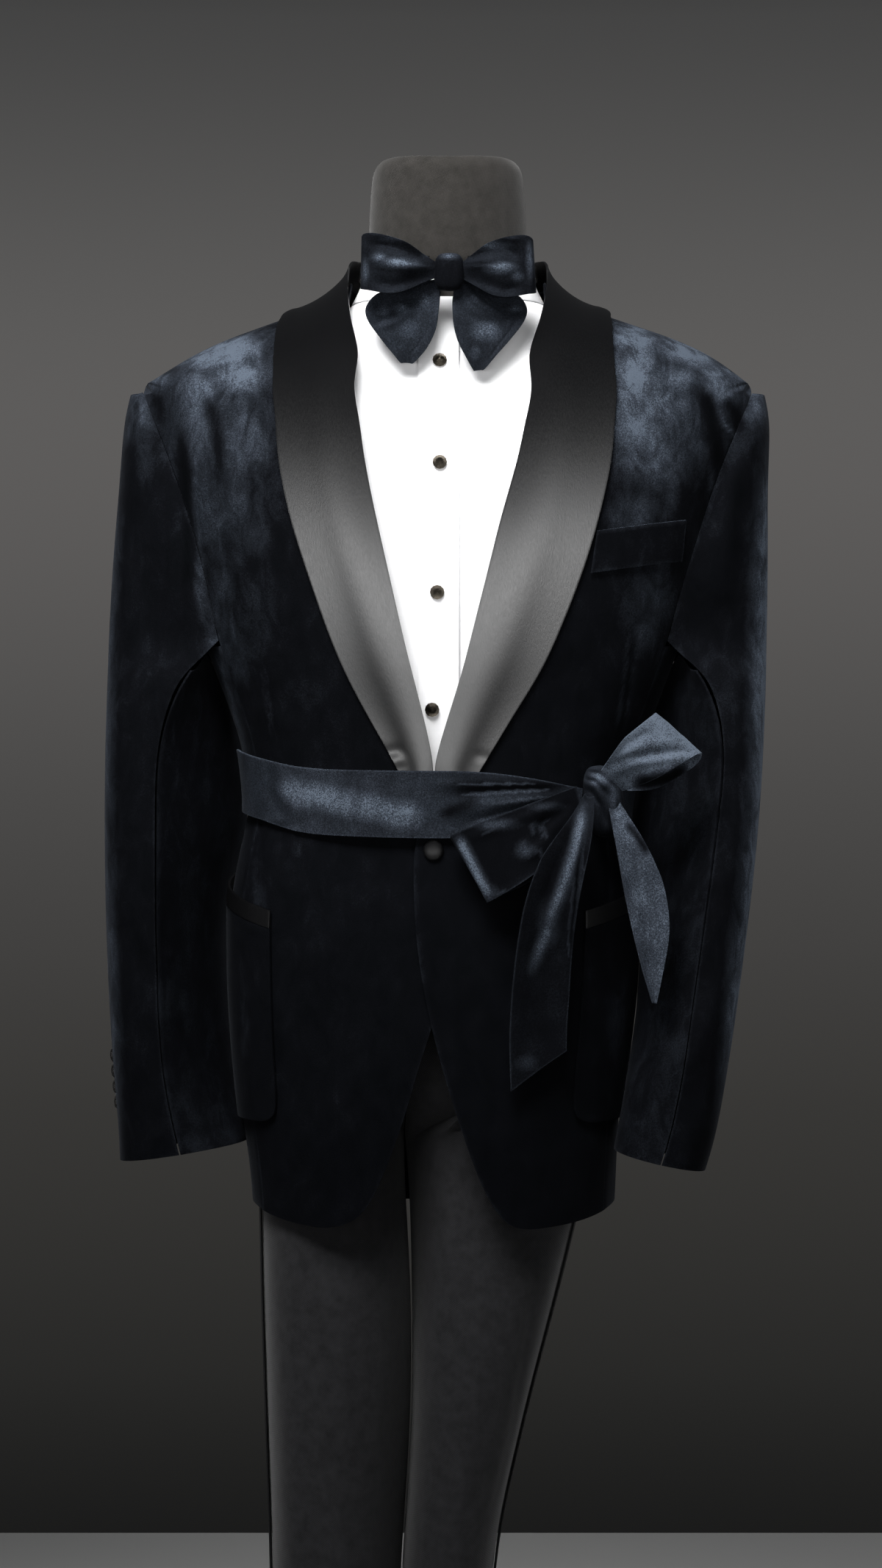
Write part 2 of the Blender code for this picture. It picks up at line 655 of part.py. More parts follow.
def body_surface(angle, z):
    """The jacket's surface, with its hem a little higher at the sides than in the middle."""
    sideways = abs(math.sin(math.radians(angle))) ** 4
    rise = HEM_RISE * sideways * (1.0 - smooth_step(z, JACKET_HEM, HEM_RISE_END))
    return jacket_surface(angle, z + rise)


def jacket_front_edge(side, z):
    edge = RIGHT_FRONT_EDGE if side == "right" else LEFT_FRONT_EDGE
    return front_angle(JACKET, BODY_POWER, table_at(edge, z)[0], z)


def armhole_angle(side, z, which):
    """The angle of the armhole's front (0) or back (1) edge, as on the +X side."""
    depth = table_at(ARMHOLE, z)[which]
    return depth_angle(JACKET, BODY_POWER, depth, z)


def overlap_rise(angle, z):
    """The left front lies over the right one below the lapels, and comes down beyond it."""
    x = jacket_surface(angle, z).x
    below_lapels = 1.0 - smooth_step(z, 1.072, 1.094)
    return OVERLAP_RISE * (1.0 - smooth_step(x, 0.012, 0.060)) * below_lapels


def front_span(side):
    sign = SIDES[side]

    def span(z):
        if z <= ARMHOLE_BOTTOM:
            outer = SIDE_SEAM
        elif z < SHOULDER_POINT:
            outer = armhole_angle(side, z, 0)
        else:
            outer = 90.0
        outer = set_back(jacket_surface, sign * outer, z, -sign * SEAM / 2)
        return jacket_front_edge(side, z), outer

    return span


def back_span(side):
    sign = SIDES[side]

    def span(z):
        if z <= ARMHOLE_BOTTOM:
            outer = 180.0 - SIDE_SEAM
        elif z < SHOULDER_POINT:
            outer = armhole_angle(side, z, 1)
        else:
            outer = 90.0
        outer = set_back(jacket_surface, sign * outer, z, sign * SEAM / 2)
        return outer, set_back(jacket_surface, sign * 180.0, z, -sign * SEAM / 2)

    return span


def side_span(side):
    sign = SIDES[side]

    def span(z):
        start = set_back(jacket_surface, sign * SIDE_SEAM, z, sign * SEAM / 2)
        end = set_back(jacket_surface, sign * (180.0 - SIDE_SEAM), z, -sign * SEAM / 2)
        return start, end

    return span


def make_jacket_body(velvet):
    rows = SKIRT_ROWS + CHEST_ROWS + ARMHOLE_ROWS[1:] + SHOULDER_ROWS
    for side in SIDES:
        lift = overlap_rise if side == "left" else None
        panel(f"jacket_front_{side}", body_surface, rows, front_span(side), 7, VELVET, velvet, lift)
        panel(f"jacket_side_{side}", body_surface, SIDE_ROWS, side_span(side), 3, VELVET, velvet)
        panel(f"jacket_back_{side}", body_surface, BACK_ROWS + ARMHOLE_ROWS[1:]
              + SHOULDER_ROWS, back_span(side), 5, VELVET, velvet)


def sleeve_surface(side, inner_half):
    """Half of a sleeve: across -90 is its front seam, +90 its back seam."""
    sign = SIDES[side]
    table = RIGHT_SLEEVE if side == "right" else LEFT_SLEEVE

    def surface(across, z):
        seam, outer, inner, front, back, fold = table_at(table, z)
        lean = fold - (front + back) / 2 if inner_half else 0.0
        front_x = back_x = seam
        if z >= ARMHOLE_BOTTOM:
            front_edge = jacket_surface(sign * armhole_angle(side, z, 0), z)
            back_edge = jacket_surface(sign * armhole_angle(side, z, 1), z)
            front_x, front = front_edge.x + sign * SEAM, front_edge.y
            back_x, back = back_edge.x + sign * SEAM, back_edge.y
        sine = math.sin(math.radians(across))
        cosine = max(0.0, math.cos(math.radians(across)))
        share = (1 + signed_power(sine, 2 / SLEEVE_POWER)) / 2
        base = front_x + (back_x - front_x) * share
        reach = inner if inner_half else outer
        bulge = cosine ** (2 / SLEEVE_POWER)
        x = base + (reach - base) * bulge
        y = front + (back - front) * share + lean * bulge
        inwards = (outer - x) / (outer - inner)
        rise = CUFF_RISE * max(0.0, inwards) * (1 - smooth_step(z, CUFF, 0.92))
        if inner_half:
            up = smooth_step(z, UNDERARM_START, UNDERARM_END)
            rise += UNDERARM_RISE * bulge ** 3 * up
            x -= sign * UNDERARM_INSET * up * (1.0 - bulge)
        return Vector((x, y, z + rise))

    return surface


def half_sleeve(name, side, inner_half, rows, columns, velvet):
    """A half-tube wall whose inside is worked out in the sleeve's own section."""
    surface = sleeve_surface(side, inner_half)
    outwards = SIDES[side] * (-1.0 if inner_half else 1.0)
    outer, inner = [], []
    for z in rows:
        outer_row, inner_row = [], []
        for column in range(columns + 1):
            across = -90.0 + 180.0 * column / columns
            if inner_half:
                across = max(-88.2, min(88.2, across))
            inside = max(-87.0, min(87.0, across))
            point = surface(across, z)
            normal = normal_of(surface, inside, z, 1.0) * outwards
            outer_row.append(point)
            inner_row.append(point - normal * VELVET)
        outer.append(outer_row)
        inner.append(inner_row)
    cloth_wall(name, outer, inner, velvet)


def make_sleeves(velvet):
    for side in SIDES:
        rows = SLEEVE_ROWS + ARMHOLE_ROWS
        half_sleeve(f"sleeve_{side}_upper", side, False, rows, 8, velvet)
        half_sleeve(f"sleeve_{side}_under", side, True, SLEEVE_ROWS, 6, velvet)


def collar_stations(side):
    """The shawl collar's edges as (key, inner angle, inner height, outer angle, outer height)."""
    sign = SIDES[side]
    lapel = RIGHT_LAPEL if side == "right" else LEFT_LAPEL
    rows = []
    for inner_x, inner_z, outer_x, outer_z in lapel:
        rows.append((front_angle(JACKET, BODY_POWER, inner_x, inner_z), inner_z,
                     front_angle(JACKET, BODY_POWER, outer_x, outer_z), outer_z))
    for inner, inner_z, outer, outer_z in COLLAR_BACK:
        rows.append((sign * inner, inner_z, sign * outer, outer_z))
    return tuple((float(i),) + row for i, row in enumerate(rows))


def make_collar(side, satin):
    stations = collar_stations(side)
    sign = SIDES[side]
    columns = 5
    outer, inner = [], []
    steps = [i / 2 for i in range(2 * (len(stations) - 1) + 1)]
    for along in steps:
        inner_angle, inner_z, outer_angle, outer_z = table_at(stations, along)
        if along == steps[-1]:
            inner_angle = set_back(jacket_surface, inner_angle, inner_z, -sign * SEAM / 2)
            outer_angle = set_back(jacket_surface, outer_angle, outer_z, -sign * SEAM / 2)
        outer_row, inner_row = [], []
        for column in range(columns + 1):
            share = column / columns
            angle = inner_angle + (outer_angle - inner_angle) * share
            z = inner_z + (outer_z - inner_z) * share
            roll = LAPEL_ROLL * math.sin(math.pi * min(1.0, share * 1.1 + 0.18)) ** 2
            over_shoulder = 1.0 - smooth_step(abs(along - COLLAR_SHOULDER), 0.5, 2.0)
            rise = LAPEL_RISE + roll + COLLAR_SHOULDER_RISE * over_shoulder
            outer_row.append(lifted(jacket_surface, angle, z, rise))
            inner_row.append(lifted(jacket_surface, angle, z, rise - SATIN))
        outer.append(outer_row)
        inner.append(inner_row)
    cloth_wall(f"shawl_collar_{side}", outer, inner, satin)


def make_pocket(side, velvet, satin):
    sign = SIDES[side]
    front = POCKET_FRONT[side]

    def top_at(share):
        return POCKET_TOP + POCKET_SLANT * share

    def patch(name, bottom_at, height_at, rise, wall, rows, material, corners):
        outer, inner = [], []
        for row in rows:
            outer_row, inner_row = [], []
            for column in range(7):
                share = column / 6
                z = bottom_at(share) + height_at(share) * row
                tuck = 0.0
                if corners:
                    low = max(0.0, POCKET_CORNER - (z - POCKET_BOTTOM))
                    reach = math.sqrt(max(0.0, POCKET_CORNER**2 - low**2))
                    tuck = math.degrees((POCKET_CORNER - reach) / 0.14)
                angle = sign * (front + tuck + (POCKET_WIDTH - 2 * tuck) * share)
                outer_row.append(lifted(jacket_surface, angle, z, rise))
                inner_row.append(lifted(jacket_surface, angle, z, rise - wall))
            outer.append(outer_row)
            inner.append(inner_row)
        cloth_wall(name, outer, inner, material)

    patch(f"pocket_{side}", lambda share: POCKET_BOTTOM,
          lambda share: top_at(share) - POCKET_BOTTOM, PATCH_RISE, VELVET,
          (0.0, 0.03, 0.09, 0.35, 0.65, 1.0), velvet, True)
    patch(f"pocket_trim_{side}", lambda share: top_at(share) + SEAM,
          lambda share: POCKET_TRIM, PATCH_RISE + 0.0004, SATIN + 0.0006,
          (0.0, 1.0), satin, False)


def make_breast_welt(velvet):
    outer, inner = [], []
    for x0, z0, x1, z1 in BREAST_WELT:
        outer_row, inner_row = [], []
        for column in range(6):
            share = column / 5
            z = z0 + (z1 - z0) * share
            angle = front_angle(JACKET, BODY_POWER, x0 + (x1 - x0) * share, z)
            outer_row.append(lifted(jacket_surface, angle, z, PATCH_RISE))
            inner_row.append(lifted(jacket_surface, angle, z, PATCH_RISE - VELVET))
        outer.append(outer_row)
        inner.append(inner_row)
    cloth_wall("breast_welt", outer, inner, velvet)


def make_jacket_buttons(satin, horn):
    x, z = FRONT_BUTTON
    angle = front_angle(JACKET, BODY_POWER, x, z)
    rise = overlap_rise(angle, z) + 0.0008
    place = lifted(jacket_surface, angle, z, rise)
    domed = ((0.86, 0.0), (1.0, 0.0014), (0.88, 0.0034), (0.50, 0.0047))
    turned_button("front_button", FRONT_BUTTON_RADIUS, domed, place,
                  normal_of(jacket_surface, angle, z), satin, sides=14)
    for side, across in (("right", 12.0), ("left", 30.0)):
        surface = sleeve_surface(side, False)
        for number in range(CUFF_BUTTONS):
            height = CUFF_BUTTON_LOWEST + number * CUFF_BUTTON_SPACING
            axis = normal_of(surface, across, height, 1.0) * SIDES[side]
            place = surface(across, height) + axis * 0.0007
            flat = ((0.94, 0.0), (1.0, 0.0018), (0.80, 0.0029))
            turned_button(f"cuff_button_{side}_{number + 1}", CUFF_BUTTON_RADIUS, flat, place,
                          axis, horn, sides=10)


# ---- The sash ------------------------------------------------------------------------------
def sash_rise(angle):
    """The sash stands further out over the lapels' ends and the overlapped fronts."""
    centre = 1.0 - smooth_step(abs(angle - 5.0), 20.0, 45.0)
    return SASH_RISE + SASH_FRONT_RISE * centre


def sash_strip(name, start, end, columns, velvet):
    outer, inner = [], []
    for row in range(5):
        share = row / 4
        outer_row, inner_row = [], []
        for column in range(columns + 1):
            angle = start + (end - start) * column / columns
            top, bottom = table_at(SASH, angle)
            z = bottom + (top - bottom) * share
            rise = sash_rise(angle) + 0.0012 * math.sin(math.pi * share)
            outer_row.append(lifted(jacket_surface, angle, z, rise))
            inner_row.append(lifted(jacket_surface, angle, z, rise - VELVET))
        outer.append(outer_row)
        inner.append(inner_row)
    cloth_wall(name, outer, inner, velvet)


def make_sash(velvet):
    seam = -84.0
    sash_strip("sash_front", seam, 43.0, 16, velvet)
    sash_strip("sash_back", 57.0, seam + 360.0 - 0.3, 22, velvet)
    place = lifted(jacket_surface, SASH_KNOT_ANGLE, SASH_KNOT_HEIGHT, KNOT_RISE)
    rounded_knot("sash_knot", place, SASH_KNOT_SIZE, math.radians(SASH_KNOT_ANGLE - 8.0), velvet)
    ribbon("sash_loop_upper", UPPER_SASH_LOOP, 4, VELVET, velvet)
    ribbon("sash_loop_lower", LOWER_SASH_LOOP, 4, VELVET, velvet)
    ribbon("sash_tail_long", LONG_TAIL, 4, VELVET, velvet, crown=-0.003)
    ribbon("sash_tail_short", SHORT_TAIL, 4, VELVET, velvet, crown=-0.003)


# ---- Bow tie -------------------------------------------------------------------------------
def make_bow_tie(velvet, satin):
    rounded_knot("bow_knot", BOW_KNOT_CENTRE, BOW_KNOT_SIZE, 0.0, velvet)
    ribbon("bow_loop_right", RIGHT_BOW_LOOP, 5, VELVET, velvet)
    ribbon("bow_loop_left", LEFT_BOW_LOOP, 5, VELVET, velvet)
    ribbon("bow_tail_right", RIGHT_BOW_TAIL, 5, VELVET, velvet, crown=-0.002)
    ribbon("bow_tail_left", LEFT_BOW_TAIL, 5, VELVET, velvet, crown=-0.002)
    shirt = section_surface(SHIRT, BODY_POWER)
    outer, inner = [], []
    for z in (1.4975, 1.5085):
        outer_row, inner_row = [], []
        for column in range(25):
            angle = 10.0 + 340.0 * column / 24
            outer_row.append(lifted(shirt, angle, z, 0.0050))
            inner_row.append(lifted(shirt, angle, z, 0.0038))
        outer.append(outer_row)
        inner.append(inner_row)
    cloth_wall("bow_strap", outer, inner, satin)


# ---- The shirt -----------------------------------------------------------------------------
def make_shirt(shirting, metal):
    shirt = section_surface(SHIRT, BODY_POWER)

    def edge(side, z, which):
        sign = SIDES[side]
        if z < SHIRT_ARMHOLE[0][0] or z >= SHIRT_ARMHOLE[-1][0]:
            angle = 90.0
        else:
            angle = depth_angle(SHIRT, BODY_POWER, table_at(SHIRT_ARMHOLE, z)[which], z)
        away = SEAM / 2 * (1 if which else -1)
        return set_back(shirt, sign * angle, z, sign * away)

    def front_piece(side):
        sign = SIDES[side]

        def span(z):
            middle = front_angle(SHIRT, BODY_POWER, SHIRT_MIDDLE, z)
            return set_back(shirt, middle, z, sign * SEAM / 2), edge(side, z, 0)

        return span

    def back_piece(z):
        return edge("left", z, 1), 360.0 + edge("right", z, 1)

    for side in SIDES:
        panel(f"shirt_front_{side}", shirt, SHIRT_ROWS, front_piece(side), 5, SHIRTING, shirting)
    panel("shirt_back", shirt, SHIRT_ROWS, back_piece, 8, SHIRTING, shirting)

    def placket_span(z):
        return (front_angle(SHIRT, BODY_POWER, SHIRT_MIDDLE - PLACKET_HALF, z),
                front_angle(SHIRT, BODY_POWER, SHIRT_MIDDLE + PLACKET_HALF, z))

    panel("shirt_placket", shirt, SHIRT_ROWS, placket_span, 2, SHIRTING, shirting,
          lambda angle, z: PLACKET_RISE)

    outer, inner = [], []
    for row in range(3):
        outer_row, inner_row = [], []
        for column in range(25):
            angle = 4.0 + 352.0 * column / 24
            top = SHIRT_COLLAR_TOP - SHIRT_COLLAR_DIP * math.cos(math.radians(angle))
            z = SHIRT_COLLAR_BOTTOM + (top - SHIRT_COLLAR_BOTTOM) * row / 2
            flare = 0.0012 * row / 2
            outer_row.append(lifted(shirt, angle, z, 0.0008 + flare))
            inner_row.append(lifted(shirt, angle, z, flare - 0.0006))
        outer.append(outer_row)
        inner.append(inner_row)
    cloth_wall("shirt_collar", outer, inner, shirting)

    cone = ((0.88, 0.0), (1.0, 0.0010), (0.55, 0.0036), (0.14, 0.0052))
    for number, (x, z) in enumerate(STUDS):
        angle = front_angle(SHIRT, BODY_POWER, x, z)
        axis = normal_of(shirt, angle, z)
        place = shirt(angle, z) + axis * (PLACKET_RISE + 0.0006)
        turned_button(f"shirt_stud_{number + 1}", STUD_RADIUS, cone, place, axis, metal, sides=12)


# ---- The trousers --------------------------------------------------------------------------
def leg_span(side, half, z):
    """The edges of a trouser piece: the side seam, and the inside leg or the middle seam."""
    table = RIGHT_LEG if side == "right" else LEFT_LEG
    surface = section_surface(table, LEG_POWER)
    sign = SIDES[side]
    left, right = table_at(table, z)[:2]
    middle = table_at(MIDDLE_SEAM, z)[0] + sign * SEAM / 2
    inner_side = right if side == "right" else left
    if z < CROTCH or (middle - inner_side) * sign < 0:
        inside = -sign * 90.0
    else:
        inside = front_angle(table, LEG_POWER, middle, z)
    outside = sign * 90.0
    if half == "back":
        inside = -sign * 180.0 - inside
        outside = -sign * 270.0
        return (set_back(surface, inside, z, -sign * SEAM / 2),
                set_back(surface, outside, z, sign * SEAM / 2))
    return (set_back(surface, inside, z, sign * SEAM / 2),
            set_back(surface, outside, z, -sign * SEAM / 2))


def make_trousers(suiting, satin):
    for side in SIDES:
        table = RIGHT_LEG if side == "right" else LEFT_LEG
        surface = section_surface(table, LEG_POWER)
        sign = SIDES[side]
        for half in ("front", "back"):
            panel(f"trouser_{half}_{side}", surface, LEG_ROWS,
                  lambda z, side=side, half=half: leg_span(side, half, z), 7, SUITING, suiting)

        def stripe_span(z, surface=surface, sign=sign):
            return (set_back(surface, sign * 90.0, z, -STRIPE_HALF),
                    set_back(surface, sign * 90.0, z, STRIPE_HALF))

        panel(f"satin_stripe_{side}", surface, LEG_ROWS, stripe_span, 2, SATIN, satin,
              lambda angle, z: STRIPE_RISE)
    hips = tuple((z, right[0], left[1], right[2], right[3]) for z, right, left in (
        (z, table_at(RIGHT_LEG, z), table_at(LEFT_LEG, z)) for z in (0.98, 1.00, 1.02, 1.04)))
    waist = section_surface(hips, LEG_POWER)
    panel("trouser_waistband", waist, (TROUSER_TOP + SEAM, WAISTBAND_TOP),
          lambda z: (1.0, 359.0), 24, SUITING, suiting)


# ---- The dress form ------------------------------------------------------------------------
def make_dress_form(fabric, metal):
    surface = section_surface(DRESS_FORM, FORM_POWER)
    heights = (0.850, 0.858, 0.880, 0.980, 1.070, 1.160, 1.250, 1.320, 1.365, 1.395, 1.420,
               1.445, 1.470, 1.4997)
    sides = 20
    loops = [[surface(360.0 * i / sides, z) for i in range(sides)] for z in heights]
    closed_body("dress_form", loops, Vector((0, 0, heights[0])), Vector((0.003, 0, heights[-1])),
                fabric)
    profile = ((NECK_BOTTOM, 1.0), (1.540, 1.0), (1.574, 0.965), (1.584, 0.93), (1.590, 0.86),
               (NECK_TOP, 0.76), (NECK_TOP - 0.0015, 0.45))
    loops = []
    for z, share in profile:
        wide, deep = NECK_HALF_WIDTH * share, NECK_HALF_DEPTH * share
        loops.append([Vector((NECK_MIDDLE + math.sin(2 * math.pi * i / 24) * wide,
                              -math.cos(2 * math.pi * i / 24) * deep, z)) for i in range(24)])
    closed_body("neck_block", loops, Vector((NECK_MIDDLE, 0, NECK_BOTTOM)),
                Vector((NECK_MIDDLE, 0, NECK_TOP - 0.0025)), fabric)
    bpy.ops.mesh.primitive_cylinder_add(
        vertices=16, radius=POLE_RADIUS, depth=FORM_BOTTOM - FOOT_THICKNESS - 2 * SEAM,
        location=(0, 0, (FORM_BOTTOM + FOOT_THICKNESS) / 2))
    bpy.context.object.name = "stand_pole"
    bpy.context.object.data.materials.append(metal)
    bpy.ops.mesh.primitive_cylinder_add(
        vertices=40, radius=FOOT_RADIUS, depth=FOOT_THICKNESS, location=(0, 0, FOOT_THICKNESS / 2))
    foot = bpy.context.object
    foot.name = "stand_foot"
    foot.data.materials.append(metal)
    edge = foot.modifiers.new("rounded_edge", "BEVEL")
    edge.width = 0.0025
    edge.segments = 1
    edge.limit_method = "ANGLE"
    edge.angle_limit = math.radians(50)


def main():
    for thing in list(bpy.data.objects):
        bpy.data.objects.remove(thing, do_unlink=True)
    velvet = make_material("midnight_velvet", (0.010, 0.013, 0.020), 0.85)
    satin = make_material("black_satin", (0.020, 0.020, 0.021), 0.35)
    shirting = make_material("white_poplin", (0.85, 0.85, 0.86), 0.75)
    suiting = make_material("charcoal_barathea", (0.024, 0.024, 0.026), 0.80)
    form_cloth = make_material("form_jersey", (0.034, 0.032, 0.030), 0.85)
    button_horn = make_material("black_horn", (0.012, 0.012, 0.014), 0.35)
    stud_metal = make_material("gunmetal", (0.30, 0.27, 0.24), 0.35, 1.0)
    stand_metal = make_material("brushed_steel", (0.42, 0.42, 0.43), 0.35, 1.0)

    make_jacket_body(velvet)
    make_sleeves(velvet)
    for side in SIDES:
        make_collar(side, satin)
        make_pocket(side, velvet, satin)
    make_breast_welt(velvet)
    make_jacket_buttons(satin, button_horn)
    make_sash(velvet)
    make_bow_tie(velvet, satin)
    make_shirt(shirting, stud_metal)
    make_trousers(suiting, satin)
    make_dress_form(form_cloth, stand_metal)


main()
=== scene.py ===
# %% [markdown]
# # A velvet dinner suit on its stand
# This lesson dresses a finished set of plain solids as a real suit: velvet jacket and sash, satin
# shawl collar, white shirt, bow tie and trousers, all on a limbless dress form. The solids are cut
# like the real cloth pieces, so each one only needs softer curves, its folds and its cloth.

# %% Load the solids
import math

import bmesh
import bpy
import numpy as np
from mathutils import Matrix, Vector


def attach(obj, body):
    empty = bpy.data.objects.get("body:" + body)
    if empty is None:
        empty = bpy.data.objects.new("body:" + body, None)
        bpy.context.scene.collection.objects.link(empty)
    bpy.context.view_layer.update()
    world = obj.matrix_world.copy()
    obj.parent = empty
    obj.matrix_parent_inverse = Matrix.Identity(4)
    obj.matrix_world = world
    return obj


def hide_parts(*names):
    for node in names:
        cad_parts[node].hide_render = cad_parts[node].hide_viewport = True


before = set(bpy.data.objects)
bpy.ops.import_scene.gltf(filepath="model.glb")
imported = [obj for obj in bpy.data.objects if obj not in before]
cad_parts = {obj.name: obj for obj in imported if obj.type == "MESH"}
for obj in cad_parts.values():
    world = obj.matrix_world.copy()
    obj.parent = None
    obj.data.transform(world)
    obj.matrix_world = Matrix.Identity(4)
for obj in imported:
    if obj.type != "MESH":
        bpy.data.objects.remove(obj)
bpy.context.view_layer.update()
bpy.ops.object.select_all(action="DESELECT")

# %% [markdown]
# ## Camera
# A long lens at chest height keeps the suit's sides parallel, as in a catalogue picture. The
# field of view follows from the distance and from how much of the scene one picture row covers.

# %% Place the camera
FRAME_HEIGHT = 2133
CAMERA_ACROSS = -0.003
CAMERA_DISTANCE = 3.0
CAMERA_HEIGHT = 1.088
METRES_PER_ROW = 0.0006
SENSOR = 24.0

camera_data = bpy.data.cameras.new("portrait_camera")
camera_data.sensor_fit = "AUTO"
camera_data.sensor_width = SENSOR
camera_data.lens = SENSOR * CAMERA_DISTANCE / (METRES_PER_ROW * FRAME_HEIGHT)
camera = bpy.data.objects.new("portrait_camera", camera_data)
camera.location = (CAMERA_ACROSS, -CAMERA_DISTANCE, CAMERA_HEIGHT)
camera.rotation_euler = (math.radians(90), 0, 0)
bpy.context.scene.collection.objects.link(camera)
bpy.context.scene.camera = camera
print("lens:", round(camera_data.lens, 2), "mm")

# %% [markdown]
# ## Materials: a small kit
# Every colour is written as the sRGB hex value that a picture editor shows, and turned to the
# linear value that Blender's shaders want. One function adds a node, and one fills its sockets.

# %% Colour and node helpers
MM = 0.001


def linear(hex_colour):
    """An sRGB hex value as linear red, green, blue and alpha."""
    parts = [int(hex_colour[i:i + 2], 16) / 255 for i in (1, 3, 5)]
    return [c / 12.92 if c <= 0.04045 else ((c + 0.055) / 1.055) ** 2.4 for c in parts] + [1.0]


def plug(tree, node, **sockets):
    """Fills sockets: socket=value or socket=(node, output), with _ for a space or for a number."""
    for name, value in sockets.items():
        number = name[1:]
        socket = node.inputs[int(number) if number.isdigit() else name.replace("_", " ")]
        if isinstance(value, tuple) and isinstance(value[0], bpy.types.Node):
            tree.links.new(value[0].outputs[value[1]], socket)
        else:
            socket.default_value = value


def add_node(tree, kind, settings=None, **sockets):
    """Adds a node with its settings, and fills its sockets."""
    node = tree.nodes.new(kind)
    for name, value in (settings or {}).items():
        setattr(node, name, value)
    plug(tree, node, **sockets)
    return node


def new_material(name):
    """A material, its node tree, its one Principled shader and its coordinates."""
    material = bpy.data.materials.new(name)
    material.use_nodes = True
    tree = material.node_tree
    return material, tree, tree.nodes["Principled BSDF"], add_node(tree, "ShaderNodeTexCoord")


def ramp_stops(node, stops):
    """Gives a colour ramp its stops: pairs of place and hex colour."""
    ramp = node.color_ramp
    while len(ramp.elements) < len(stops):
        ramp.elements.new(0.5)
    for element, (place, colour) in zip(ramp.elements, stops):
        element.position = place
        element.color = linear(colour)


print("a mid grey in linear light:", [round(c, 3) for c in linear("#808080")])

# %% [markdown]
# ## Velvet
# Silk-and-viscose velvet is a dense pile about 1 mm tall. Pile seen end-on drinks the light and is
# almost black, and pile that is brushed over shows its flanks and turns a cool blue-grey. Real
# hairs would be far too many, so one shader stands for them. The `nap_and_sheen` attribute,
# painted on each
# piece further down, says how far the pile lies over and also holds painted sheen and shade:
# highlights where the light falls, and dark lines. Two noises break it up as fingers and steam do.

# %% Velvet
def make_velvet(name, stops, patch):
    material, tree, shader, place = new_material(name)
    nap_and_sheen = add_node(tree, "ShaderNodeAttribute", {"attribute_name": "nap_and_sheen"})
    stretch = add_node(tree, "ShaderNodeMapping", Vector=(place, "Object"), Scale=(1.0, 1.0, 0.55))
    # Crushed patches are 10 to 25 mm across, and longer down the cloth than across it.
    crush = add_node(tree, "ShaderNodeTexNoise", Vector=(stretch, "Vector"), Scale=1 / (17 * MM),
                     Detail=6.0, Roughness=0.68, Distortion=0.8)
    # Broad drifts of 60 mm, where a hand has stroked the pile one way.
    drift = add_node(tree, "ShaderNodeTexNoise", Vector=(stretch, "Vector"), Scale=1 / (60 * MM),
                     Detail=3.0, Roughness=0.6, Distortion=1.2)
    # The pile's tufts are 0.3 mm in life and drawn 1.1 mm here, so that they show.
    tuft = add_node(tree, "ShaderNodeTexNoise", Vector=(place, "Object"), Scale=1 / (1.1 * MM),
                    Detail=2.0, Roughness=0.8)
    # Total lean: the painted nap with its painted sheen and shade, more or less of it in each
    # patch, and again from tuft to tuft.
    patches = add_node(tree, "ShaderNodeMath", {"operation": "MULTIPLY_ADD"},
                       _0=(crush, "Fac"), _1=2 * patch, _2=0.5 - patch)
    drifts = add_node(tree, "ShaderNodeMath", {"operation": "MULTIPLY_ADD"},
                      _0=(drift, "Fac"), _1=patch, _2=0.5 - 0.5 * patch)
    both = add_node(tree, "ShaderNodeMath", {"operation": "ADD"},
                    _0=(patches, "Value"), _1=(drifts, "Value"))
    leaning = add_node(tree, "ShaderNodeMath", {"operation": "MULTIPLY"},
                       _0=(nap_and_sheen, "Fac"), _1=(both, "Value"))
    grain = add_node(tree, "ShaderNodeMath", {"operation": "MULTIPLY_ADD"},
                     _0=(tuft, "Fac"), _1=1.5, _2=0.25)
    total = add_node(tree, "ShaderNodeMath", {"operation": "MULTIPLY"},
                     _0=(leaning, "Value"), _1=(grain, "Value"))
    tone = add_node(tree, "ShaderNodeValToRGB", Fac=(total, "Value"))
    ramp_stops(tone, stops)
    bump = add_node(tree, "ShaderNodeBump", Height=(tuft, "Fac"), Strength=0.35, Distance=0.5 * MM)
    # Pile has no gloss of its own. A little sheen lights its tips where the cloth turns away.
    plug(tree, shader, Base_Color=(tone, "Color"), Normal=(bump, "Normal"), Roughness=0.92,
         Sheen_Weight=0.045, Sheen_Roughness=0.30, Sheen_Tint=linear("#969ca6"),
         Specular_IOR_Level=0.04)
    return material


# The upper stops are reached mostly where the nap holds painted sheen.
VELVET_STOPS = [(0.0, "#040506"), (0.25, "#0b0c0f"), (0.5, "#1c1f24"), (0.75, "#30353d")]
velvet = make_velvet("midnight_silk_velvet", VELVET_STOPS + [(1.0, "#4b535e")], 0.90)
brushed_velvet = make_velvet("brushed_midnight_velvet", VELVET_STOPS + [(1.0, "#57606c")], 0.3)
print("made", velvet.name, brushed_velvet.name)

# %% [markdown]
# ## Satin
# The collar is silk satin. Its long floats lie flat and side by side, so it shines broadly. It is
# near black, and a large low light in front turns it grey where it faces that way. The pocket
# trims and the covered button are a duller satin, and the trousers' stripes are a dull braid. A
# picture of cloth could be wrapped on, but a noise drawn out along the threads never repeats.

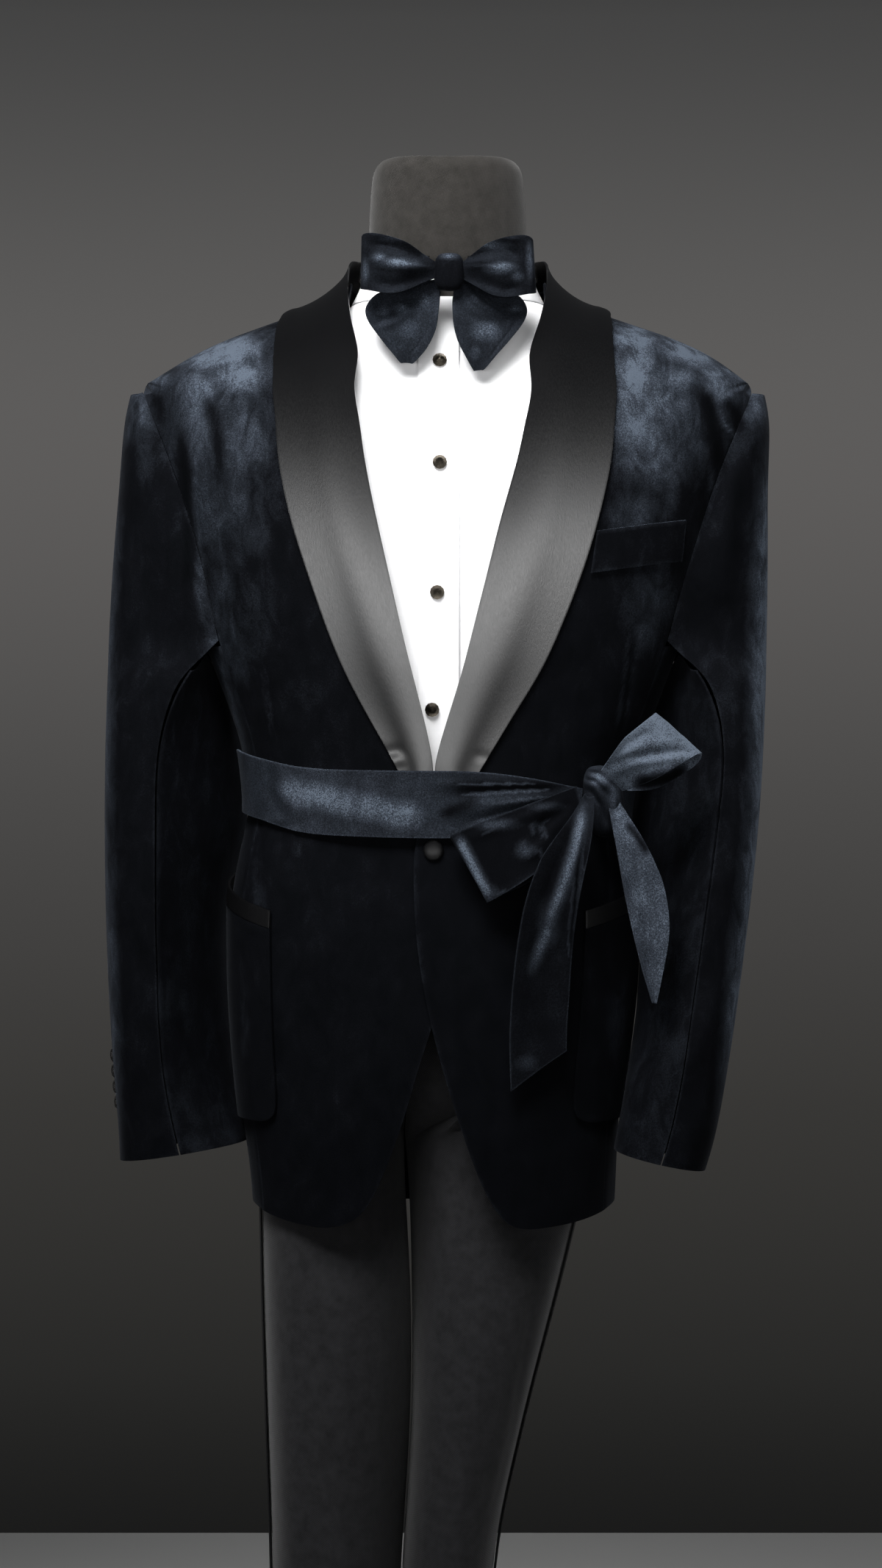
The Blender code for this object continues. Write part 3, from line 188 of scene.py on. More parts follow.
# %% Satin
def make_satin(name, dark, light, roughness, ior):
    material, tree, shader, place = new_material(name)
    # Satin floats are 0.1 mm apart in life, drawn 0.8 mm apart as a fine grain.
    floats = add_node(tree, "ShaderNodeMapping", Vector=(place, "Object"), Scale=(1.0, 1.0, 0.25))
    grain = add_node(tree, "ShaderNodeTexNoise", Vector=(floats, "Vector"), Scale=1 / (0.8 * MM),
                     Detail=2.0, Roughness=0.6)
    tone = add_node(tree, "ShaderNodeValToRGB", Fac=(grain, "Fac"))
    ramp_stops(tone, [(0.3, dark), (0.7, light)])
    rough = add_node(tree, "ShaderNodeMath", {"operation": "MULTIPLY_ADD"},
                     _0=(grain, "Fac"), _1=0.16, _2=roughness - 0.08)
    bump = add_node(tree, "ShaderNodeBump", Height=(grain, "Fac"), Strength=0.5,
                    Distance=0.15 * MM)
    plug(tree, shader, Base_Color=(tone, "Color"), Roughness=(rough, "Value"),
         Normal=(bump, "Normal"), IOR=ior, Specular_IOR_Level=1.0)
    return material


satin = make_satin("black_silk_satin", "#020203", "#060607", 0.37, 1.70)
dull_satin = make_satin("black_satin_piping", "#060607", "#0a0a0b", 0.50, 1.40)
stripe_satin = make_satin("black_satin_braid", "#131314", "#19191a", 0.55, 1.42)
print("made", satin.name, dull_satin.name, stripe_satin.name)

# %% [markdown]
# ## Poplin, barathea and jersey
# The shirt is cotton poplin, a tight plain weave. The trousers are wool barathea, whose broken
# diagonal gives a pebbled dark grey. The form wears a brown-grey jersey. Threads could be
# modelled on a small sample, but a whole suit has far too many, so two crossed waves stand for
# them, and only their spacing and their slant differ from cloth to cloth.

# %% Woven cloths
def make_woven(name, dark, light, spacing_mm, slant, roughness, bump_strength, sheen):
    material, tree, shader, place = new_material(name)
    turned = add_node(tree, "ShaderNodeMapping", Vector=(place, "Object"),
                      Rotation=(0.0, math.radians(slant), 0.0))
    # A wave repeats every 2 pi / 20 units at scale 1, so this gives one band per spacing.
    warp, weft = [
        add_node(tree, "ShaderNodeTexWave", {"bands_direction": direction},
                 Vector=(turned, "Vector"), Scale=math.pi / (10 * spacing_mm * MM),
                 Distortion=1.4, Detail=2.0, Detail_Scale=1.2) for direction in ("X", "Z")]
    weave = add_node(tree, "ShaderNodeMath", {"operation": "MULTIPLY"},
                     _0=(warp, "Fac"), _1=(weft, "Fac"))
    # Slubs, the thicker stretches of yarn, come every 9 mm or so.
    slub = add_node(tree, "ShaderNodeTexNoise", Vector=(place, "Object"), Scale=1 / (9 * MM),
                    Detail=4.0, Roughness=0.6)
    total = add_node(tree, "ShaderNodeMath", {"operation": "MULTIPLY_ADD"},
                     _0=(weave, "Value"), _1=0.5, _2=(slub, "Fac"))
    tone = add_node(tree, "ShaderNodeValToRGB", Fac=(total, "Value"))
    ramp_stops(tone, [(0.25, dark), (0.95, light)])
    bump = add_node(tree, "ShaderNodeBump", Height=(weave, "Value"), Strength=bump_strength,
                    Distance=0.3 * MM)
    plug(tree, shader, Base_Color=(tone, "Color"), Normal=(bump, "Normal"), Roughness=roughness,
         Sheen_Weight=sheen, Sheen_Roughness=0.5, Specular_IOR_Level=0.25)
    return material


poplin = make_woven("white_cotton_poplin", "#f3f3f5", "#fdfdfe", 1.0, 0, 0.80, 0.05, 0.0)
barathea = make_woven("charcoal_wool_barathea", "#19191a", "#2d2d2f", 1.3, 38, 0.85, 0.30, 0.06)
jersey = make_woven("brown_grey_form_jersey", "#232220", "#343230", 1.1, 12, 0.90, 0.25, 0.10)
print("made", poplin.name, barathea.name, jersey.name)

# %% [markdown]
# ## Horn, plated metal and steel
# The cuff buttons are polished horn, the studs are gunmetal-plated brass and the stand is brushed
# steel. Each is one shader with a little unevenness, because on something this small only the
# shape of the highlight tells what it is made of.

# %% Small hard finishes
def make_hard(name, dark, light, grain_mm, roughness, metallic, along=1.0):
    material, tree, shader, place = new_material(name)
    brushed = add_node(tree, "ShaderNodeMapping", Vector=(place, "Object"),
                       Scale=(1.0, 1.0, along))
    grain = add_node(tree, "ShaderNodeTexNoise", Vector=(brushed, "Vector"),
                     Scale=1 / (grain_mm * MM), Detail=3.0)
    tone = add_node(tree, "ShaderNodeValToRGB", Fac=(grain, "Fac"))
    ramp_stops(tone, [(0.3, dark), (0.7, light)])
    rough = add_node(tree, "ShaderNodeMath", {"operation": "MULTIPLY_ADD"},
                     _0=(grain, "Fac"), _1=0.16, _2=roughness - 0.08)
    plug(tree, shader, Base_Color=(tone, "Color"), Roughness=(rough, "Value"), Metallic=metallic)
    return material


horn = make_hard("polished_black_horn", "#0b0b0c", "#1d1c1b", 2.0, 0.28, 0.0)
gunmetal = make_hard("gunmetal_plated_brass", "#7a7266", "#a89e8e", 0.8, 0.30, 1.0)
steel = make_hard("brushed_steel", "#8c8c8f", "#a9a9ab", 1.2, 0.34, 1.0, along=0.06)
print("made", horn.name, gunmetal.name, steel.name)

# %% [markdown]
# ## From solid to soft cloth
# Each solid is a wall of cloth with flat facets, bought cheaply in triangles. A copy is merged and
# its triangles are paired back to squares. Sharp rim edges are creased, so that a subdivision
# surface rounds the cloth but keeps its cut edge, and a narrow bevel then rolls that edge. A cloth
# simulation could drape it too, but this keeps every piece where the pattern puts it.

# %% Points and modifiers
def read_points(piece):
    points = np.zeros(len(piece.data.vertices) * 3)
    piece.data.vertices.foreach_get("co", points)
    return points.reshape(-1, 3)


def write_points(piece, points):
    piece.data.vertices.foreach_set("co", points.reshape(-1))
    piece.data.update()


def apply_modifier(piece, kind, **settings):
    modifier = piece.modifiers.new(kind.lower(), kind)
    for name, value in settings.items():
        setattr(modifier, name, value)
    bpy.context.view_layer.objects.active = piece
    bpy.ops.object.modifier_apply(modifier=modifier.name)


print("point helpers are ready")

# %% [markdown]
# ## A soft copy of a solid
# A subdivision surface shrinks a curve a little, so the corners are first moved out by as much as
# it would draw them in. The cut edges also move out by a hair, so that neighbours all but meet.

# %% Copy and soften a cut piece
RIM_ANGLE = math.radians(50)
CLOTH_THICK = 3.2 * MM
SEAM_CLOSING = 0.13 * MM
SAME_WAY = 0.7
SAME_CORNER = 0.01 * MM
SAME_SQUARE = {"face_threshold": math.radians(40), "shape_threshold": math.radians(60)}


def close_seams(model, crease):
    """Moves the narrow faces of the cut edges out, so that neighbours all but meet at a seam."""
    outwards = {}
    for face in model.faces:
        sharp = [edge for edge in face.edges if edge[crease] == 1.0]
        if len(sharp) >= 2 and min(edge.calc_length() for edge in face.edges) < CLOTH_THICK:
            for corner in face.verts:
                ways = outwards.setdefault(corner, [])
                if all(face.normal.dot(way) < SAME_WAY for way in ways):
                    ways.append(face.normal.copy())
    for corner, ways in outwards.items():
        corner.co += sum(ways, Vector()) * SEAM_CLOSING


def keep_outline(piece, keep):
    """Moves the corners out, so that the rounded surface passes through where they were."""
    trial = piece.copy()
    trial.data = piece.data.copy()
    bpy.context.scene.collection.objects.link(trial)
    apply_modifier(trial, "SUBSURF", levels=1, render_levels=1)
    wanted = read_points(piece)
    rounded = read_points(trial)[:len(wanted)]
    bpy.data.objects.remove(trial)
    write_points(piece, wanted + keep * (wanted - rounded))


def soft_copy(node, name, levels, keep=0.9):
    """A merged, squared and smoothed copy of a solid, as a new object."""
    piece = bpy.data.objects.new(name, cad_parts[node].data.copy())
    bpy.context.scene.collection.objects.link(piece)
    piece.data.materials.clear()
    bpy.context.view_layer.objects.active = piece
    piece.select_set(True)
    bpy.ops.object.mode_set(mode="EDIT")
    bpy.ops.mesh.select_all(action="SELECT")
    bpy.ops.mesh.remove_doubles(threshold=SAME_CORNER)
    bpy.ops.mesh.tris_convert_to_quads(**SAME_SQUARE)
    bpy.ops.object.mode_set(mode="OBJECT")
    model = bmesh.new()
    model.from_mesh(piece.data)
    crease = model.edges.layers.float.new("crease_edge")
    for edge in model.edges:
        if len(edge.link_faces) == 2 and edge.calc_face_angle() > RIM_ANGLE:
            edge[crease] = 1.0
    close_seams(model, crease)
    model.to_mesh(piece.data)
    model.free()
    keep_outline(piece, keep)
    apply_modifier(piece, "SUBSURF", levels=levels, render_levels=levels)
    piece.select_set(False)
    return piece


print("cloth helpers are ready")

# %% [markdown]
# ## Folds placed one by one
# A fold is a soft line on the cloth: its path across and up the suit, its width, and how deep it
# is pressed in. A negative depth stands out as a ridge. All pieces that meet read the same list,
# so a fold runs over a seam without opening it. Folds in front move points along Y only. They
# could be sculpted, but lines written down as numbers are easy to move.

# %% Fold fields
FOLD_FADE = 0.25
TURN_DEPTH = 0.03


def unit(t):
    """t, held between 0 and 1."""
    return np.clip(t, 0.0, 1.0)


def soft_step(t):
    """0 up to 0, 1 from 1 on, and a soft rise between them."""
    return unit(t) ** 2 * (3 - 2 * unit(t))


def line_field(points, width, *path):
    """1 on a soft line in the XZ plane, 0 away from it and at its fading ends. Millimetres."""
    path = [(x * MM, z * MM) for x, z in zip(path[::2], path[1::2])]
    lengths = [math.dist(a, b) for a, b in zip(path, path[1:])]
    field = np.zeros(len(points))
    run = 0.0
    for (x0, z0), (x1, z1), length in zip(path, path[1:], lengths):
        across, up = points[:, 0] - x0, points[:, 2] - z0
        along = unit((across * (x1 - x0) + up * (z1 - z0)) / length**2)
        away = np.hypot(across - along * (x1 - x0), up - along * (z1 - z0))
        share = (run + along * length) / sum(lengths)
        ends = soft_step(np.minimum(share, 1.0 - share) / FOLD_FADE)
        field = np.maximum(field, np.exp(-((away / (width * MM)) ** 2)) * ends)
        run += length
    return field


def spot_field(points, x, z, half_wide, half_high):
    """1 in the middle of a soft oval spot, 0 away from it. Millimetres."""
    across, up = points[:, 0] / MM - x, points[:, 2] / MM - z
    return np.exp(-((across / half_wide) ** 2 + (up / half_high) ** 2))


def press(points, folds, facing):
    """Moves points in (+Y) by each fold's depth, where facing is 1."""
    for depth, *line in folds:
        points[:, 1] += depth * MM * line_field(points, *line) * facing


def front_of(points, middle=0.0):
    """1 in front, and 0 from the middle depth on, with a soft change over TURN_DEPTH."""
    return soft_step((middle - points[:, 1]) / TURN_DEPTH)


def uneven(points, size):
    """Smooth unevenness between about -1 and 1, the same wherever pieces meet."""
    x, y, z = (points / size).T
    return (np.sin(2.1 * x + 1.3 * z + 0.7) + np.sin(-1.7 * x + 2.3 * z + 1.9 * y + 2.1)
            + np.sin(3.3 * z - 0.9 * y + 0.4) * 0.6 + np.sin(3.7 * x + 1.1 * y - 1.2) * 0.6) / 3.2


print("fold helpers are ready")

# %% [markdown]
# ## The jacket's folds
# Velvet is heavy and backed, so it makes few, broad folds: drags from the sleeve heads to the
# chest, a dart at each side, and soft dents where the sash ties the waist in.

# %% Jacket fold tables
# Each row is a depth, a width, and a path as across, height, across, height, in millimetres.
CHEST_FOLDS = [
    (2.2, 9, -213, 1408, -220, 1378, -225, 1345), (-1.8, 7, -205, 1400, -212, 1368, -214, 1330),
    (2.4, 9, -233, 1385, -216, 1348, -203, 1301, -198, 1255),
    (-2.6, 8, -204, 1372, -196, 1326, -191, 1270, -188, 1235),
    (1.8, 9, -187, 1340, -183, 1287, -166, 1217), (-1.4, 7, -176, 1330, -172, 1285, -152, 1212),
    (1.4, 8, -166, 1304, -155, 1250, -133, 1188), (-1.2, 7, -150, 1290, -138, 1247, -118, 1195),
    (-2.2, 7, -190, 1240, -186, 1184, -166, 1124), (2.2, 8, -178, 1249, -171, 1197, -158, 1140),
    (-1.4, 8, -150, 1155, -118, 1128), (1.6, 10, -140, 1170, -115, 1135),
    (1.2, 6, -195, 1430, -186, 1405), (1, 6, -168, 1437, -160, 1414),
    (3.2, 10, 204, 1412, 218, 1373, 214, 1326, 202, 1275),
    (-2.2, 7, 170, 1420, 194, 1404, 200, 1365), (2.6, 8, 238, 1378, 221, 1335, 201, 1276),
    (-1.8, 8, 186, 1395, 191, 1347, 188, 1300), (-2, 6, 228, 1392, 214, 1352, 206, 1313),
    (1.6, 9, 194, 1280, 179, 1254, 166, 1218), (-1.6, 9, 178, 1232, 170, 1190, 160, 1150),
    (2, 2.6, 153.5, 1222, 150, 1183, 140.5, 1120), (-1.2, 10, 138, 1210, 128, 1150, 118, 1110),
    (2, 2.4, -143, 1190, -139, 1150, -133, 1112), (1.4, 14, 100, 1200, 85, 1140, 75, 1105),
    (-1.2, 12, -100, 1180, -90, 1130, -82, 1105),
]
SKIRT_FOLDS = [
    (2, 2.4, -146.5, 1072, -149, 1026, -149, 985), (2.4, 7, -131, 1060, -128, 1035),
    (-2, 6, -121, 1056, -119, 1028), (-2.4, 16, -50, 1015, -85, 972, -118, 930),
    (1.8, 18, -75, 930, -100, 880, -112, 820), (-1.6, 14, -60, 880, -82, 820, -90, 760),
    (1.4, 12, -135, 880, -142, 810, -140, 750), (2, 2.4, 128, 1055, 131, 1020, 131, 985),
    (1.6, 12, 45, 1020, 50, 960, 60, 900), (-1.8, 14, 20, 960, 40, 900, 62, 820),
    (1.6, 14, 75, 890, 88, 820, 92, 750), (-1.4, 10, 118, 900, 124, 830, 122, 760),
]
BACK_FOLDS = [
    (-3, 16, -120, 1330, -85, 1240, -50, 1150), (-2.6, 16, 125, 1320, 80, 1230, 55, 1140),
    (2.6, 14, -175, 1300, -145, 1220, -110, 1140), (2.4, 14, 178, 1290, 150, 1210, 108, 1140),
    (-2.4, 12, -60, 1050, -72, 960, -76, 830), (-2.2, 12, 55, 1050, 64, 950, 70, 820),
    (2.2, 12, 10, 1045, 28, 960, 30, 860), (1.8, 2.2, 0, 1440, 0, 1200, 0, 760),
    (2, 12, -110, 1420, -30, 1395, 50, 1405), (-1.6, 10, -80, 1395, 10, 1375, 80, 1385),
]
SLEEVE_FOLDS = [
    (2.4, 12, -262, 1330, -248, 1270, -225, 1215), (-2, 10, -270, 1290, -255, 1220, -232, 1150),
    (2, 12, -240, 1160, -262, 1080, -262, 1000), (-2, 12, -222, 1080, -240, 1000, -244, 900),
    (2.2, 10, -256, 960, -232, 930, -210, 925), (-1.6, 9, -250, 920, -230, 900, -205, 900),
    (1.6, 10, -262, 880, -245, 840, -232, 800), (2.2, 12, 255, 1300, 238, 1250, 215, 1205),
    (-2, 10, 256, 1240, 240, 1180, 214, 1120), (2.4, 12, 246, 1120, 222, 1060, 196, 1040),
    (-2, 10, 242, 1040, 218, 1010, 190, 1005), (2, 12, 232, 980, 206, 930, 180, 900),
    (-2, 10, 216, 930, 198, 880, 170, 840), (1.6, 10, 214, 880, 190, 830, 172, 790),
]
print("folds:", len(CHEST_FOLDS), len(SKIRT_FOLDS), len(BACK_FOLDS), len(SLEEVE_FOLDS))

# %% [markdown]
# ## Where the nap holds painted sheen
# The nap is painted as soft spots and lines. On the shoulders, the high chest, the sleeves' outer
# edges and along ridges it is painted sheen, bright where the light falls. On the sash and the
# tails it is partly their pile, brushed the other way, and partly painted sheen. Lines below 0 are
# painted shade. Everywhere else it stays low, so that the cloth is nearly black.

# %% Nap and painted sheen tables of the jacket
# Spots are a strength, then across, height, half width and half height in millimetres.
JACKET_NAP_AND_SHEEN = [
    (0.92, -178, 1434, 46, 22), (0.90, -164, 1412, 30, 24), (0.78, -196, 1402, 30, 26),
    (0.62, -186, 1372, 30, 24), (0.66, -232, 1412, 22, 12), (0.56, -174, 1340, 22, 22),
    (0.50, -160, 1300, 34, 50), (0.46, -176, 1235, 20, 50), (0.44, -252, 1375, 18, 24),
    (0.36, -130, 1330, 14, 70), (0.95, 150, 1412, 26, 40), (0.84, 170, 1390, 20, 34),
    (0.90, 196, 1436, 46, 20), (0.78, 180, 1410, 34, 20), (0.70, 214, 1412, 26, 18),
    (0.56, 176, 1366, 34, 26), (0.52, 150, 1345, 26, 26), (0.50, 180, 1325, 10, 40),
    (0.60, 240, 1398, 14, 20), (0.50, 150, 1300, 34, 34), (0.44, 160, 1240, 24, 30),
    (0.52, 160, 1208, 18, 20), (0.44, 176, 1255, 8, 40), (0.40, -240, 1350, 16, 30),
    (0.30, -120, 1040, 12, 12), (0.30, -160, 900, 10, 80), (0.30, 60, 900, 30, 60),
    (0.28, -120, 1160, 30, 40), (0.36, 140, 900, 18, 60), (0.34, -150, 1005, 18, 40),
    (0.66, -158, 1362, 36, 45), (0.56, -186, 1305, 36, 50), (0.38, -160, 1220, 50, 60),
    (0.74, 156, 1368, 46, 56), (0.66, 166, 1345, 36, 34), (0.86, 222, 1408, 34, 26),
    (0.40, 160, 1230, 44, 60), (0.62, -190, 1385, 60, 60), (0.60, 190, 1375, 60, 56),
    (0.90, 150, 1444, 28, 22), (0.58, -244, 1395, 22, 40), (0.62, 250, 1395, 22, 34),
    (0.46, -172, 1185, 26, 30), (0.40, 238, 1290, 30, 50),
]
# Lines are a strength, a width and a path. A strength below 0 darkens the cloth along the line:
# painted shade.
JACKET_NAP_AND_SHEEN_LINES = [
    (0.5, 4, -212, 1412, -214.8, 1404.6, -218.9, 1381.5, -226, 1360),
    (0.4, 4, -244, 1404, -242.5, 1399.2, -236, 1381.5, -228, 1360),
    (0.46, 4, -220.5, 1372, -220.1, 1360, -218.4, 1346.1, -212, 1320),
    (0.54, 7, -208.9, 1395, -199.5, 1346, -196.5, 1310, -195.5, 1240, -190, 1190),
    (0.56, 7, -190, 1240, -182, 1190, -166, 1130, -152, 1090),
    (0.46, 5, -182, 1320, -176, 1260, -168, 1200, -150, 1140),
    (0.74, 4, 216.5, 1395, 223, 1376.2, 229.5, 1371.5, 236, 1362),
    (0.5, 5, 211.8, 1378, 213.5, 1345, 213, 1310),
    (0.88, 16, 262, 1440, 262, 1330, 259, 1200, 252, 1060, 238, 940, 215, 740),
    (0.52, 14, -262, 1440, -270, 1300, -275, 1200, -277, 1050, -272, 900, -264, 700),
    (0.6, 4, -262, 1400, -266, 1360, -269, 1300), (0.46, 5, 176, 1330, 172, 1270, 166, 1200),
    (0.44, 3, 146, 1222, 144, 1183, 136, 1120), (-0.45, 6, -231, 1404, -227.6, 1390, -226.5, 1372),
    (-0.75, 4.5, -214, 1385, -208.5, 1350, -205, 1300, -206, 1230),
    (-0.6, 5, -188, 1400, -180, 1360, -176, 1320),
    (-0.85, 7, 200, 1410, 209, 1395, 215.5, 1368, 220, 1330),
    (-0.6, 5, 222, 1398, 232, 1388, 240, 1372), (-0.7, 9, 236, 1355, 234, 1310, 228, 1240),
    (-0.2, 110, 0, 600, 0, 800, 0, 950, 0, 1150),
]
print("nap spots:", len(JACKET_NAP_AND_SHEEN), "lines:", len(JACKET_NAP_AND_SHEEN_LINES))

# %% [markdown]
# ## Painting the nap and its sheen
# The nap, with its painted sheen and shade, is stored as one number at each point of the mesh. It
# could be painted with a brush, but worked out from the tables it stays the same each time, and
# all pieces that meet agree.

# %% Painter of the nap and its painted sheen
NAP_BASE = 0.20
NAP_UNEVEN = 0.03
EDGE_TURN = 0.30


def edge_highlight_mask(piece):
    """1 on the rolled edges of the cloth and 0 on the flat of it: where a painted highlight goes.
    """
    model = bmesh.new()
    model.from_mesh(piece.data)
    field = [max((edge.calc_face_angle(0.0) for edge in vert.link_edges), default=0.0) > EDGE_TURN
             for vert in model.verts]
    model.free()
    return np.array(field, dtype=float)


def paint_nap_and_sheen(piece, spots=(), lines=(), base=NAP_BASE, top_light=0.0, edge=0.0):
    """Writes the nap attribute: the strongest spot or line at each point, with painted highlights
    on edges and tops, and painted shade where a line is below 0.
    """
    points = read_points(piece)
    value = np.full(len(points), base)
    for strength, *spot in spots:
        value = np.maximum(value, strength * spot_field(points, *spot))
    # Lines above 0 are painted sheen, and lines below 0 darken the nap as painted shade.
    for strength, *line in lines:
        field = strength * line_field(points, *line)
        value = np.maximum(value, field) if strength > 0 else value * (1 + field)
    normals = np.zeros(len(points) * 3)
    piece.data.vertices.foreach_get("normal", normals)
    # Painted highlight on faces that look up, as if lit from above, and a small unevenness.
    value += top_light * unit(normals[2::3]) + NAP_UNEVEN * uneven(points, 12 * MM)
    # Painted highlight on the rolled edges, where they catch the light.
    value = np.maximum(value, edge * edge_highlight_mask(piece))
    layer = piece.data.attributes.new("nap_and_sheen", "FLOAT", "POINT")
    layer.data.foreach_set("value", unit(value).astype(np.float32))


print("the nap painter is ready")

# %% [markdown]
# ## Finishing a piece
# Each finished piece replaces its solid and moves with the stand.


# The word for each finish in the names of pieces, and the slot of the solids that wear it.
FINISHES = {
    velvet.name: ("velvet", "midnight_velvet"), brushed_velvet.name: ("velvet", "midnight_velvet"),
    satin.name: ("satin", "black_satin"), dull_satin.name: ("satin", "black_satin"),
    stripe_satin.name: ("cloth", "black_satin"), barathea.name: ("cloth", "charcoal_barathea"),
    poplin.name: ("poplin", "white_poplin"), jersey.name: ("jersey", "form_jersey"),
}


def declare(piece, node):
    """Hides the solid the piece takes the place of, and makes the piece move with the stand."""
    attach(piece, "root")
    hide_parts(node)


def tailor(node, material, move=None, levels=3, keep=0.9, edge_mm=0.5, rests_on="dress_form",
           **nap_and_sheen):
    """Makes a soft copy, shapes it, rolls its cut edge and gives it its finish."""
    kind, slot = FINISHES[material.name]
    piece = soft_copy(node, f"{kind}_{node}", levels, keep)
    if move:
        points = read_points(piece)
        move(points)
        write_points(piece, points)
    if edge_mm:
        apply_modifier(piece, "BEVEL", width=edge_mm * MM, segments=2, limit_method="ANGLE",
                       angle_limit=RIM_ANGLE, use_clamp_overlap=True)
    if nap_and_sheen:
        paint_nap_and_sheen(piece, **nap_and_sheen)
    piece.data.materials.append(material)
    bpy.context.view_layer.objects.active = piece
    piece.select_set(True)
    bpy.ops.object.shade_smooth_by_angle(angle=RIM_ANGLE)
    piece.select_set(False)
    declare(piece, node)
    print(piece.name, "faces:", len(piece.data.polygons))


# %% [markdown]
# ## The jacket body
# Two fronts, two sides and two backs are sewn edge to edge. They could be joined in one mesh, but
# as cut pieces each keeps its seams and its flat size. The folds and a broad unevenness go on all
# of them alike, and stay off the lapels, which lie smooth.

# %% Jacket panels
# The lapels' outer edge, as height and distance from the middle.
LAPEL_EDGE = ((1.090, 0.033), (1.142, 0.060), (1.187, 0.083), (1.248, 0.105), (1.298, 0.121),
              (1.352, 0.132), (1.440, 0.136), (1.500, 0.110))
LAPEL_MARGIN = 0.016
LAPEL_FOOT, LAPEL_FOOT_FADE = 1.098, 0.02
PANEL_UNEVEN, PANEL_WAVE = 0.7 * MM, 45 * MM


def off_lapel(points):
    """0 on and under the lapels, and 1 from a margin outside them."""
    edge = np.interp(points[:, 2], *zip(*LAPEL_EDGE))
    beside = (np.abs(points[:, 0]) - edge) / LAPEL_MARGIN
    below = (LAPEL_FOOT - points[:, 2]) / LAPEL_FOOT_FADE
    return soft_step(np.maximum(beside, below))


def drape_jacket(points, extra=()):
    """Presses the jacket's folds in, and those of the piece itself on its front."""
    front = front_of(points)
    back = 1.0 - front_of(points, TURN_DEPTH)
    loose = front * off_lapel(points)
    press(points, CHEST_FOLDS + SKIRT_FOLDS, loose)
    press(points, extra, front)
    press(points, BACK_FOLDS, -back)
    points[:, 1] += PANEL_UNEVEN * uneven(points, PANEL_WAVE) * (loose - back)


# The jacket's nap with painted sheen and shade, and painted highlights on its tops and edges.
JACKET_LOOK = {"spots": JACKET_NAP_AND_SHEEN, "lines": JACKET_NAP_AND_SHEEN_LINES, "top_light": 0.10, "edge": 0.30}
for part, levels in (("front", 3), ("side", 2), ("back", 3)):
    for side in ("right", "left"):
        tailor(f"jacket_{part}_{side}", velvet, drape_jacket, levels, edge_mm=0.25, **JACKET_LOOK)

# %% [markdown]
# ## The sleeves
# Each sleeve is an upper and an under piece. Its inner edge is eased in towards the body, as an
# arm-shaped sleeve hangs, and its head is raised a little along the armhole, as the padding of a
# roped shoulder does. A lattice could bend it, but a table says how far at each height.

# %% Sleeves
# How far the sleeve's inner edge eases in towards the body: height, and millimetres there.
INNER_EASE = {
    "right": ((0.76, 5.0), (0.80, 6.6), (0.815, 7.2), (0.83, 5.8), (0.86, 6.5), (0.885, 7.3),
              (0.905, 6.7), (0.935, 4.7), (0.965, 1.6), (0.99, 0.4), (1.01, 0.6), (1.04, 3.4),
              (1.055, 5.0), (1.07, 4.2), (1.10, 3.8), (1.13, 6.0), (1.16, 3.8), (1.19, 1.8),
              (1.21, 0.0)),
    "left": ((0.80, 1.0), (0.83, 1.0), (0.86, 3.0), (0.89, 4.4), (0.92, 4.0), (0.95, 2.0),
             (0.975, 0.5), (1.005, 0.5), (1.025, 4.6), (1.05, 7.4), (1.08, 5.2), (1.115, 5.4),
             (1.13, 4.8), (1.16, 3.0), (1.19, 2.6), (1.21, 0.0)),
}
EASE_REACH = 0.05
SLICE = 0.010
HEAD_START, HEAD_RISE = 1.365, 0.035
HEAD_LIFT, ARMHOLE_LIFT = 1.5 * MM, 9.5 * MM
ARMHOLE_OUT, ARMHOLE_FADE = 0.248, 0.034


def inner_line(points, reach):
    """How far in the sleeve reaches, slice by slice: the slices' heights and farthest points."""
    slices = ((points[:, 2] - points[:, 2].min()) / SLICE).astype(int)
    farthest = np.full(slices.max() + 1, -1.0)
    np.maximum.at(farthest, slices, reach)
    return points[:, 2].min() + SLICE * (np.arange(len(farthest)) + 0.5), farthest


inner_lines = {}


def shape_sleeve(points, side, half):
    """Eases the inner edge in and lifts the head. The under piece is first, as both need it."""
    drape_jacket(points, SLEEVE_FOLDS)
    inwards = 1.0 if side == "right" else -1.0
    reach = inwards * points[:, 0]
    if half == "under":
        inner_lines[side] = inner_line(points, reach)
    outside = np.interp(points[:, 2], *inner_lines[side]) - reach
    ease = np.interp(points[:, 2], *zip(*INNER_EASE[side]))
    points[:, 0] += inwards * MM * ease * unit(1.0 - outside / EASE_REACH) ** 2
    if half == "upper":
        head = unit((points[:, 2] - HEAD_START) / HEAD_RISE) ** 2
        near_armhole = unit((reach + ARMHOLE_OUT) / ARMHOLE_FADE)
        points[:, 2] += head * (HEAD_LIFT + ARMHOLE_LIFT * near_armhole)


for side in ("right", "left"):
    # The under piece's nap is a little higher: painted light where it lies in the upper's shade.
    for half, base in (("under", 0.24), ("upper", NAP_BASE)):
        tailor(f"sleeve_{side}_{half}", velvet, lambda points: shape_sleeve(points, side, half),
               edge_mm=0.25, base=base, **JACKET_LOOK)

# %% [markdown]
# ## Shawl collar
# One unbroken satin lapel on each side, rolled over at its inner edge and thicker there. Where the
# button pulls it together at the bottom, the satin creases across. A strip could be bent over for
# it, but the solid already has the roll, so it is only smoothed, creased and fitted at the neck.

# %% Collar
COLLAR_FOLDS = [
    (0.7, 4, -62, 1118, -45, 1113, -30, 1117), (-0.6, 4, -60, 1110, -42, 1105, -28, 1108),
    (0.4, 4, 20, 1112, 36, 1108, 50, 1111),
]
